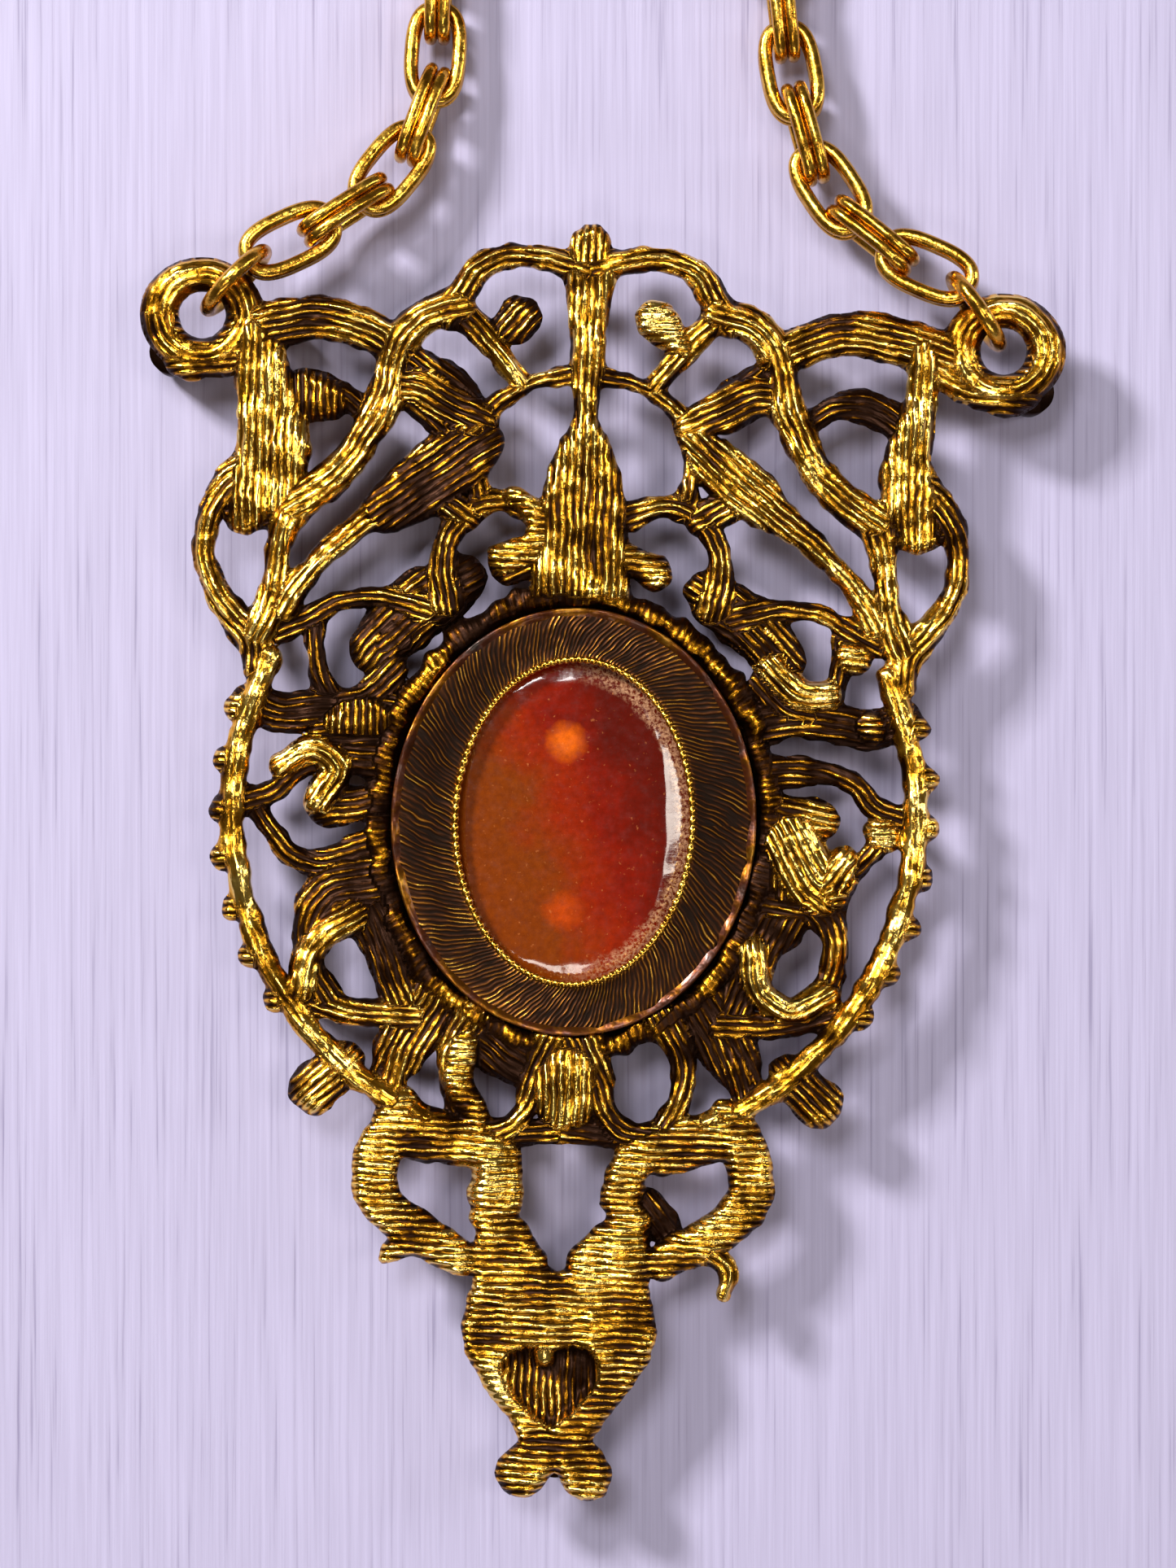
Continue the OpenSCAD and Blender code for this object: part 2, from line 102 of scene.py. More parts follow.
def ripple(x: np.ndarray, y: np.ndarray, size: float, seed: float) -> np.ndarray:
    """Uneven swell between -1 and 1: three crossed products of sines.

    Args:
        x: First coordinate, in millimetres.
        y: Second coordinate, in millimetres.
        size: Rough distance between two swells, in millimetres.
        seed: Shift that makes one swell differ from another.

    Returns:
        The height of the swell at each place.
    """
    total = np.zeros(np.broadcast(x, y).shape)
    for k, (angle, share) in enumerate(((0.4, 0.45), (1.7, 0.33), (2.6, 0.22))):
        f = TURN / size * (1.0 + 0.47 * k)
        u = x * math.cos(angle) + y * math.sin(angle)
        v = y * math.cos(angle) - x * math.sin(angle)
        total += share * np.sin(f * u + seed + k) * np.sin(0.83 * f * v + 2.1 * seed + 3 * k)
    return total * 1.6


def turned(points: np.ndarray, axis: str, angle: float) -> np.ndarray:
    """Turn points about a main axis.

    Args:
        points: Points, in the last axis of the array.
        axis: "x", "y" or "z".
        angle: Degrees, positive by the right hand.

    Returns:
        The turned points.
    """
    c, s = math.cos(math.radians(angle)), math.sin(math.radians(angle))
    rows = {"x": [[1, 0, 0], [0, c, -s], [0, s, c]],
            "y": [[c, 0, s], [0, 1, 0], [-s, 0, c]],
            "z": [[c, -s, 0], [s, c, 0], [0, 0, 1]]}[axis]
    return points @ np.array(rows).T


@dataclass
class Surface:
    """Mesh data: points, faces, and the flow of the surface at each face corner."""

    points: np.ndarray
    faces: list
    flow: np.ndarray
    shade: np.ndarray            # tone and comb of each point

    @staticmethod
    def grid(points: np.ndarray, flow: np.ndarray, shade: np.ndarray | None = None) -> "Surface":
        """Closed band of a grid: rows run round, columns run round the profile.

        The surface is point(u, v) with both u and v periodic, so every seam is
        shared.  The flow has one row and one column more, and so runs on past
        the seam.

        Args:
            points: Array (rows, columns, 3).
            flow: Array (rows + 1, columns + 1, 2), in millimetres.
            shade: Array (rows, columns, 2), or None for none.

        Returns:
            The surface.
        """
        rows, cols = points.shape[:2]
        i, j = np.meshgrid(np.arange(rows), np.arange(cols), indexing="ij")
        i1, j1 = i + 1, j + 1
        corner = [(i, j), (i1, j), (i1, j1), (i, j1)]
        faces = np.stack([(a % rows) * cols + b % cols for a, b in corner], -1).reshape(-1, 4)
        uv = np.stack([flow[a, b] for a, b in corner], -2).reshape(-1, 2)
        tone = np.zeros((rows * cols, 2)) if shade is None else shade.reshape(-1, 2)
        return Surface(points.reshape(-1, 3), faces.tolist(), uv, tone)

    @staticmethod
    def joined(parts: list["Surface"]) -> "Surface":
        """Put several surfaces in one mesh."""
        start = np.cumsum([0] + [len(p.points) for p in parts[:-1]])
        faces = [[int(v + s) for v in f] for p, s in zip(parts, start) for f in p.faces]
        return Surface(np.vstack([p.points for p in parts]), faces,
                       np.vstack([p.flow for p in parts]),
                       np.vstack([p.shade for p in parts]))

    @staticmethod
    def capped(rings: np.ndarray, low: list, high: list) -> "Surface":
        """Closed solid of stacked rings: bands between them, and a fan at each pole.

        Args:
            rings: Array (rings, samples, 3), from the low pole to the high one.
            low: The low pole.
            high: The high pole.

        Returns:
            The surface, with its faces outwards.
        """
        n, m = rings.shape[:2]
        i, j = np.meshgrid(np.arange(n - 1), np.arange(m), indexing="ij")
        j1 = (j + 1) % m
        quads = np.stack([i * m + j, i * m + j1, (i + 1) * m + j1, (i + 1) * m + j], -1)
        k, k1, last = np.arange(m), (np.arange(m) + 1) % m, (n - 1) * m
        fan_low = np.stack([np.full(m, n * m), k1, k], -1)
        fan_high = np.stack([np.full(m, n * m + 1), last + k, last + k1], -1)
        points = np.vstack([rings.reshape(-1, 3), [low], [high]])
        faces = quads.reshape(-1, 4).tolist() + fan_low.tolist() + fan_high.tolist()
        ids = np.concatenate([np.asarray(f) for f in faces])
        return outward(Surface(points, faces, points[ids][:, :2], np.zeros((len(points), 2))))

    def moved(self, points: np.ndarray) -> "Surface":
        """The same mesh with its points elsewhere."""
        return Surface(points, self.faces, self.flow, self.shade)

    def flipped(self) -> "Surface":
        """The same surface with its faces turned over."""
        sizes = np.array([len(f) for f in self.faces])
        ends = np.cumsum(sizes)
        order = np.concatenate([np.arange(e - 1, e - s - 1, -1) for e, s in zip(ends, sizes)])
        return Surface(self.points, [f[::-1] for f in self.faces], self.flow[order], self.shade)

    def volume(self) -> float:
        """Signed volume: the sum of the tetrahedra from the origin to each face fan."""
        total = 0.0
        by_size: dict[int, list] = {}
        for f in self.faces:
            by_size.setdefault(len(f), []).append(f)
        for size, group in by_size.items():
            ids = np.array(group)
            for k in range(1, size - 1):
                a, b, c = (self.points[ids[:, n]] for n in (0, k, k + 1))
                total += float(np.einsum("ij,ij->i", a, np.cross(b, c)).sum()) / 6.0
        return total


def outward(surface: Surface) -> Surface:
    """Turn a closed surface so that its faces point outwards."""
    return surface if surface.volume() > 0 else surface.flipped()


def tube(path: np.ndarray, radius: np.ndarray, sides: int, up: np.ndarray,
         flat: float = 0.0) -> Surface:
    """Wire along a closed path: a circle of the given radius square to the path.

    Args:
        path: Closed path, array (n, 3), its first point not repeated.
        radius: Radius at each point.
        sides: Sides of the wire.
        up: A direction that is never along the path, array (3,).
        flat: Share by which the wire is pressed in, where it faces up.

    Returns:
        The closed surface.
    """
    tangent = np.roll(path, -1, 0) - np.roll(path, 1, 0)
    tangent /= np.linalg.norm(tangent, axis=1, keepdims=True)
    side = np.cross(tangent, up)
    side /= np.linalg.norm(side, axis=1, keepdims=True)
    top = np.cross(side, tangent)
    a = np.arange(sides) * TURN / sides
    lift = np.sin(a) * (1.0 - flat * np.abs(np.sin(a)) ** 3)
    ring = np.cos(a)[None, :, None] * side[:, None, :] + lift[None, :, None] * top[:, None, :]
    points = path[:, None, :] + radius[:, None, None] * ring
    step = np.linalg.norm(np.roll(path, -1, 0) - path, axis=1)
    along = np.concatenate([[0.0], np.cumsum(step)])
    across = np.arange(sides + 1) * TURN / sides * float(radius.mean())
    flow = np.stack(np.broadcast_arrays(across[None, :], along[:, None]), -1)
    return outward(Surface.grid(points, flow))


def turned_solid(profile: np.ndarray, sides: int, stretch: tuple[float, float]) -> Surface:
    """Closed solid of revolution: each profile point becomes an ellipse ring.

    Args:
        profile: Points [radius, z] from one pole to the other; both ends lie on
            the axis.
        sides: Samples round.
        stretch: Factors along x and y.

    Returns:
        The closed surface, with triangles at its two poles.
    """
    a = np.arange(sides) * TURN / sides
    inner = profile[1:-1]
    ring = np.stack([inner[:, :1] * np.cos(a) * stretch[0], inner[:, :1] * np.sin(a) * stretch[1],
                     np.broadcast_to(inner[:, 1:], (len(inner), sides))], -1)
    return Surface.capped(ring, [0, 0, profile[0, 1]], [0, 0, profile[-1, 1]])


# --------------------------------------------------------------------------
# Materials
# --------------------------------------------------------------------------

def fill(tree: bpy.types.NodeTree, socket: bpy.types.NodeSocket, value) -> None:
    """Set an input to a value, or link it to the output that feeds it."""
    if isinstance(value, bpy.types.NodeSocket):
        tree.links.new(value, socket)
    else:
        socket.default_value = value


def add(tree: bpy.types.NodeTree, kind: str, inputs: dict | None = None,
        **settings) -> bpy.types.Node:
    """Add a node, set its properties, and fill or link its inputs.

    Args:
        tree: Tree that takes the node.
        kind: Name of the node's type, without its ShaderNode prefix.
        inputs: Input name or number to a value, or to an output that feeds it.
        **settings: Properties of the node.

    Returns:
        The node.
    """
    node = tree.nodes.new("ShaderNode" + kind)
    for key, value in settings.items():
        setattr(node, key, value)
    for key, value in (inputs or {}).items():
        fill(tree, node.inputs[key], value)
    return node


class Graph:
    """Node tree of one material: a Principled shader that feeds the output."""

    def __init__(self, name: str) -> None:
        """Start the material.

        Args:
            name: Name of the material.
        """
        self.material = bpy.data.materials.new(name)
        self.material.use_nodes = True
        self.tree = self.material.node_tree
        self.tree.nodes.clear()
        self.shader = self.node("BsdfPrincipled")
        self.node("OutputMaterial", {"Surface": self.shader.outputs["BSDF"]})

    def node(self, kind: str, inputs: dict | None = None, **settings) -> bpy.types.Node:
        """A new node of this tree, as add() makes it."""
        return add(self.tree, kind, inputs, **settings)

    def feed(self, name: str, value) -> None:
        """Give an input of the shader a value, or the output that feeds it."""
        fill(self.tree, self.shader.inputs[name], value)

    def bump(self, height, strength: float, distance: float) -> None:
        """Bump the shader by a height; the distance is in millimetres."""
        inputs = {"Height": height, "Strength": strength, "Distance": distance * MM}
        self.feed("Normal", self.node("Bump", inputs).outputs["Normal"])

    def math(self, operation: str, *values):
        """Output of a Math node on the given values or outputs."""
        return self.node("Math", dict(enumerate(values)), operation=operation).outputs[0]

    def times(self, first, second):
        """Output of a product."""
        return self.math("MULTIPLY", first, second)

    def plus(self, first, second):
        """Output of a sum."""
        return self.math("ADD", first, second)

    def noise(self, vector, size: float, detail: float = 3.0, rough: float = 0.55):
        """Output of a noise whose blotches are about `size` of the vector's unit."""
        return self.node("TexNoise", {"Vector": vector, "Scale": 1.0 / size, "Detail": detail,
                                      "Roughness": rough, "Distortion": 0.0}).outputs["Fac"]

    def place(self):
        """Output with the place on the object, in metres."""
        return self.node("TexCoord").outputs["Object"]

    def brushed(self) -> tuple:
        """Outputs with the flow of the surface, across and along it, in millimetres."""
        split = self.node("SeparateXYZ", {0: self.node("UVMap", uv_map="flow").outputs["UV"]})
        return split.outputs["X"], split.outputs["Y"]

    def mapped(self, vector, **inputs):
        """Output of a Mapping node; inputs are scale, rotation and location."""
        named = {key.title(): value for key, value in inputs.items()}
        return self.node("Mapping", {"Vector": vector, **named}).outputs[0]

    def stretched(self, across, wide: float, along, long: float):
        """Output of a vector with both flows scaled, to draw a noise out into streaks."""
        parts = {"X": self.times(across, wide), "Y": self.times(along, long)}
        return self.node("CombineXYZ", parts).outputs[0]

    def shade(self, word: str):
        """Output with a shade of the mesh: tone or comb."""
        return self.node("Attribute", attribute_name=word).outputs["Fac"]

    def ramp(self, value, stops: list[tuple[float, str]]):
        """Output of a colour ramp with the given places and hex colours."""
        node = self.node("ValToRGB", {"Fac": value})
        band = node.color_ramp
        while len(band.elements) < len(stops):
            band.elements.new(0.5)
        for element, (place, code) in zip(band.elements, stops):
            element.position = place
            element.color = linear(code)
        return node.outputs["Color"]

    def span(self, value, low: float, high: float, to_low: float = 0.0, to_high: float = 1.0):
        """Output of a clamped linear map from one range to another."""
        return self.node("MapRange", {"Value": value, "From Min": low, "From Max": high,
                                      "To Min": to_low, "To Max": to_high}).outputs["Result"]

    def mix(self, factor, first, code: str):
        """Output of a mix of a colour output with a hex colour."""
        return self.node("Mix", {0: factor, 6: first, 7: linear(code)}, data_type="RGBA",
                         blend_type="MIX").outputs[2]


@dataclass(frozen=True)
class Finish:
    """What every finish has: a name, which says the real finish."""

    name: str


@dataclass(frozen=True)
class AntiquedGold(Finish):
    """Gold-plated white metal, cast and antiqued, then brushed along its limbs.

    The plating is bright on the worn crests, the dark wash stays in the
    grooves and hollows, and the brush leaves ridges 0.38 mm apart.  The limb
    tones that it reads add painted highlight and painted shade on top of this.
    """

    bright: str = "#F4B63C"
    mid: str = "#A36C12"
    wash: str = "#241004"
    ridge: float = 0.38          # distance between two brush ridges
    depth: float = 0.085         # height of a ridge

    def build(self) -> bpy.types.Material:
        """Make the material.

        Returns:
            The material.
        """
        g = Graph(self.name)
        place = g.place()
        across, along = g.brushed()
        tone = g.shade("tone")
        strength = g.shade("comb")
        swell = g.noise(place, 0.0022, 2.0)
        shift = g.times(g.math("SUBTRACT", swell, 0.5), 0.35)
        wave = g.times(g.plus(across, shift), TURN / self.ridge)
        comb = g.math("MULTIPLY_ADD", g.math("SINE", wave), 0.5, 0.5)
        streak = g.noise(g.stretched(across, 3.4, along, 0.45), 1.0, 3.0, 0.6)
        pits = g.noise(place, 0.00032, 3.0, 0.6)
        ridges = g.times(comb, g.span(streak, 0.28, 0.55, 0.25, 1.0))
        zones = g.noise(place, 0.0028, 2.0)
        ridges = g.times(ridges, g.span(zones, 0.40, 0.56, 0.65, 1.0))
        ridges = g.times(ridges, strength)
        ridges = g.plus(ridges, g.times(streak, 0.3))
        ridges = g.plus(ridges, g.times(pits, 0.35))
        blotch = g.noise(place, 0.0032, 4.0, 0.65)
        worn = g.plus(g.times(ridges, 0.66), g.times(g.math("SUBTRACT", blotch, 0.5), 1.7))
        # the tone is partly wear and wash, partly painted highlight and painted shade; it moves the
        # ramp from wash to the palest plating
        worn = g.plus(worn, g.times(tone, 1.1))
        colour = g.ramp(worn, [(0.27, self.wash), (0.45, "#3E2206"), (0.60, self.mid),
                               (0.78, self.bright), (1.0, "#FFDB78")])
        g.feed("Base Color", colour)
        g.feed("Roughness", g.span(worn, 0.2, 0.8, 0.42, 0.16))
        g.feed("Metallic", g.span(worn, 0.18, 0.4, 0.88, 1.0))
        g.bump(ridges, 1.0, self.depth)
        return g.material


@dataclass(frozen=True)
class ChainGold(Finish):
    """Gold-plated brass wire, tumbled: warm, glossy, with random brown blotches of painted shade.
    """

    bright: str = "#F0C252"
    painted_shade_brown: str = "#A8701C"

    def build(self) -> bpy.types.Material:
        """Make the material.

        Returns:
            The material.
        """
        g = Graph(self.name)
        place = g.place()
        blotch = g.noise(place, 0.0012, 3.0, 0.6)
        fine = g.noise(place, 0.00035, 2.0)
        # the brown stop is painted shade, scattered over the wire by noise
        colour = g.ramp(blotch, [(0.30, self.painted_shade_brown), (0.50, "#D9A23A"), (0.68, self.bright)])
        g.feed("Base Color", colour)
        g.feed("Metallic", 1.0)
        g.feed("Roughness", g.span(fine, 0.3, 0.7, 0.14, 0.3))
        g.bump(g.plus(fine, g.times(blotch, 1.6)), 0.8, 0.03)
        return g.material


@dataclass(frozen=True)
class HatchedGold(Finish):
    """Gold plating over a pressed cup, hatched with a fine tool and darkened by wash."""

    hatch: float = 0.24          # distance between two hatch lines

    def build(self) -> bpy.types.Material:
        """Make the material.

        Returns:
            The material.
        """
        g = Graph(self.name)
        place = g.place()
        across, along = g.brushed()
        swell = g.noise(place, 0.0028, 2.0)
        lean = g.math("MULTIPLY_ADD", along, 0.55, across)
        lean = g.plus(lean, g.times(swell, 0.9))
        comb = g.math("SINE", g.times(lean, TURN / self.hatch))
        comb = g.math("MULTIPLY_ADD", comb, 0.5, 0.5)
        streak = g.noise(g.stretched(lean, 2.6, along, 0.7), 1.0, 2.0)
        lines = g.times(comb, g.span(streak, 0.3, 0.65))
        stain = g.noise(place, 0.0045, 2.0)
        worn = g.plus(g.plus(g.times(lines, 0.7), g.times(stain, 0.35)), g.shade("tone"))
        colour = g.ramp(worn, [(0.18, "#160A03"), (0.48, "#3C1E08"), (0.74, "#7A4C14"),
                               (1.0, "#E2B24A")])
        g.feed("Base Color", colour)
        g.feed("Roughness", g.span(worn, 0.2, 0.9, 0.55, 0.25))
        g.feed("Metallic", 0.9)
        g.bump(lines, 1.0, 0.06)
        return g.material


@dataclass(frozen=True)
class Carnelian(Finish):
    """Polished carnelian glass: orange-brown where light comes through, dark red at its edge."""

    centre: tuple[float, float] = (0.0, 0.0)
    top: float = 3.6             # height of the table, where the light spots are
    spot: float = 0.9            # radius of a light spot

    def build(self) -> bpy.types.Material:
        """Make the material.

        Returns:
            The material.
        """
        g = Graph(self.name)
        place = g.place()
        at = g.mapped(place, scale=(1 / MM, 1 / MM, 1 / MM),
                      location=(-self.centre[0], -self.centre[1], 0.0))
        split = g.node("SeparateXYZ", {0: at})
        x, y = split.outputs["X"], split.outputs["Y"]
        cloud = g.noise(at, 3.2, 4.0, 0.6)
        fleck = g.noise(at, 0.5, 3.0, 0.6)
        slope = g.plus(g.times(x, 0.085), g.times(y, 0.03))
        drift = g.plus(slope, g.times(cloud, 0.55))
        colour = g.ramp(drift, [(0.0, "#743003"), (0.24, "#861F02"), (0.42, "#741002"),
                                (0.62, "#500802")])
        for spot, code in (((-0.4, 4.1, self.top), "#D8600C"), ((-0.6, -4.6, self.top), "#AE3C05")):
            near = g.node("VectorMath", {0: at, 1: spot}, operation="DISTANCE").outputs["Value"]
            near = g.plus(near, g.times(fleck, 0.5))
            colour = g.mix(g.span(near, self.spot * 0.7, self.spot * 1.6, 0.85, 0.0), colour, code)
        grain = g.noise(at, 0.35, 4.0, 0.75)
        colour = g.mix(g.span(grain, 0.35, 0.65, 0.35, 0.0), colour, "#3A0A02")
        dust = g.noise(at, 0.28, 2.0, 0.7)
        colour = g.mix(g.span(dust, 0.66, 0.8, 0.0, 0.35), colour, "#D9874A")
        oval = g.mapped(at, scale=(0.168, 0.122, 0.0))
        rim = g.node("VectorMath", {0: oval}, operation="LENGTH").outputs["Value"]
        rim = g.plus(rim, g.times(fleck, 0.08))
        # Whitish band near the right-hand edge: partly a crust of dried cement, partly a painted
        # glint.
        shore = g.plus(g.times(x, 0.16), g.times(g.math("ABSOLUTE", y), 0.03))
        crust_and_glint = g.times(g.span(rim, 0.90, 0.95), g.span(shore, 0.1, 0.6))
        grit = g.noise(at, 0.16, 3.0, 0.7)
        crust_and_glint = g.times(crust_and_glint, g.span(grit, 0.42, 0.62, 0.0, 0.8))
        colour = g.mix(crust_and_glint, colour, "#B98C6A")
        g.feed("Base Color", colour)
        # Painted glow: the stone gives off a faint light in its own colour.
        g.feed("Emission Color", colour)
        g.feed("Emission Strength", 0.06)
        g.feed("IOR", 1.54)
        g.feed("Coat Weight", 0.6)
        g.feed("Roughness", g.span(fleck, 0.3, 0.7, 0.08, 0.2))
        scratch = g.noise(g.mapped(at, scale=(0.5, 5.0, 1.0), rotation=(0.0, 0.0, 0.5)), 1.0, 2.0)
        g.bump(g.plus(g.times(scratch, 0.5), fleck), 0.25, 0.03)
        return g.material


@dataclass(frozen=True)
class Cement(Finish):
    """Old jeweller's cement: a glossy amber film that thins to brown on the metal."""

    def build(self) -> bpy.types.Material:
        """Make the material.

        Returns:
            The material.
        """
        g = Graph(self.name)
        place = g.place()
        blotch = g.noise(place, 0.0024, 4.0, 0.65)
        colour = g.ramp(blotch, [(0.30, "#1C0C03"), (0.46, "#4A1E06"), (0.58, "#7A4A0E"),
                                 (0.74, "#D6A03A")])
        g.feed("Base Color", colour)
        g.feed("Metallic", g.span(blotch, 0.40, 0.55, 0.5, 0.95))
        g.feed("Roughness", 0.34)
        g.feed("Coat Weight", 0.1)
        g.bump(blotch, 0.8, 0.2)
        return g.material


@dataclass(frozen=True)
class SpringSteel(Finish):
    """Drawn spring steel: grey, with fine draw marks."""

    def build(self) -> bpy.types.Material:
        """Make the material.

        Returns:
            The material.
        """
        g = Graph(self.name)
        place = g.place()
        marks = g.noise(place, 0.0002, 2.0)
        g.feed("Base Color", g.ramp(marks, [(0.3, "#6E6F72"), (0.7, "#A9AAAD")]))
        g.feed("Metallic", 1.0)
        g.feed("Roughness", g.span(marks, 0.3, 0.7, 0.25, 0.4))
        return g.material


@dataclass(frozen=True)
class PaleBoard(Finish):
    """Lime-washed board: pale lavender, with fine grain along Y."""

    def build(self) -> bpy.types.Material:
        """Make the material.

        Returns:
            The material.
        """
        g = Graph(self.name)
        place = g.place()
        fine = g.noise(g.mapped(place, scale=(3600.0, 55.0, 1.0)), 1.0, 3.0, 0.6)
        wide = g.noise(g.mapped(place, scale=(260.0, 14.0, 1.0)), 1.0, 3.0, 0.5)
        grain = g.plus(g.times(fine, 0.84), g.times(wide, 0.16))
        colour = g.ramp(grain, [(0.28, "#7F7897"), (0.42, "#A09AB7"), (0.62, "#A9A3C1")])
        g.feed("Base Color", colour)
        g.feed("Roughness", 0.62)
        g.bump(grain, 0.25, 0.1)
        return g.material


class Finishes:
    """The materials of the whole necklace, each made once."""

    def __init__(self, stone_centre: tuple[float, float]) -> None:
        """Make every material.

        Args:
            stone_centre: Middle of the stone, in millimetres.
        """
        self.antiqued = AntiquedGold("antiqued_gold_plate_brushed").build()
        self.chain = ChainGold("gold_plated_wire").build()
        self.hatched = HatchedGold("hatched_gold_cup").build()
        self.stone = Carnelian("carnelian_glass_polished", stone_centre).build()
        self.cement = Cement("amber_cement_film").build()
        self.steel = SpringSteel("spring_steel_drawn").build()
        self.board = PaleBoard("lime_washed_board").build()


def piece(name: str, surface: Surface, material: bpy.types.Material, body: str,
          nodes: tuple[str, ...] = ()) -> bpy.types.Object:
    """Write a surface into a mesh object, dress it, and tie it to its body.

    Args:
        name: Name of the piece.
        surface: Its mesh data, in millimetres.
        material: Its finish.
        body: Body that it rides on.
        nodes: CAD nodes that it stands for.

    Returns:
        The object.
    """
    mesh = bpy.data.meshes.new(name)
    mesh.from_pydata((surface.points * MM).tolist(), [], surface.faces)
    layer = mesh.uv_layers.new(name="flow")
    layer.data.foreach_set("uv", surface.flow.astype(np.float32).ravel())
    for column, word in enumerate(("tone", "comb")):
        layer = mesh.attributes.new(word, "FLOAT", "POINT")
        layer.data.foreach_set("value", surface.shade[:, column].astype(np.float32))
    mesh.polygons.foreach_set("use_smooth", np.ones(len(mesh.polygons), bool))
    mesh.materials.append(material)
    mesh.update()
    obj = bpy.data.objects.new(name, mesh)
    bpy.context.scene.collection.objects.link(obj)
    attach(obj, body)
    if nodes:
        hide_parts(*nodes)
    log.info("%s: %d faces on %s", name, len(surface.faces), body)
    return obj


# --------------------------------------------------------------------------
# Plaque
# --------------------------------------------------------------------------

class Groove(Enum):
    """Which way the brush ran over a limb."""

    ALONG = "along the limb"
    UPRIGHT = "along the plaque"
    LEVEL = "across the plaque"


@dataclass
class Stroke:
    """One cast limb: its centre line [across, along, width], and how it was finished."""

    points: list
    drop: float = 0.0            # how far its back lies below the back of the plaque
    groove: Groove = Groove.ALONG
    crown: float = 0.5           # radius that rounds its back edge
    # tone: partly wear and wash, partly painted highlight and painted shade
    tone: float = 0.0            # brighter above zero, darker below
    comb: float = 1.0            # how strongly the brush combed it


A, U, L = Groove.ALONG, Groove.UPRIGHT, Groove.LEVEL

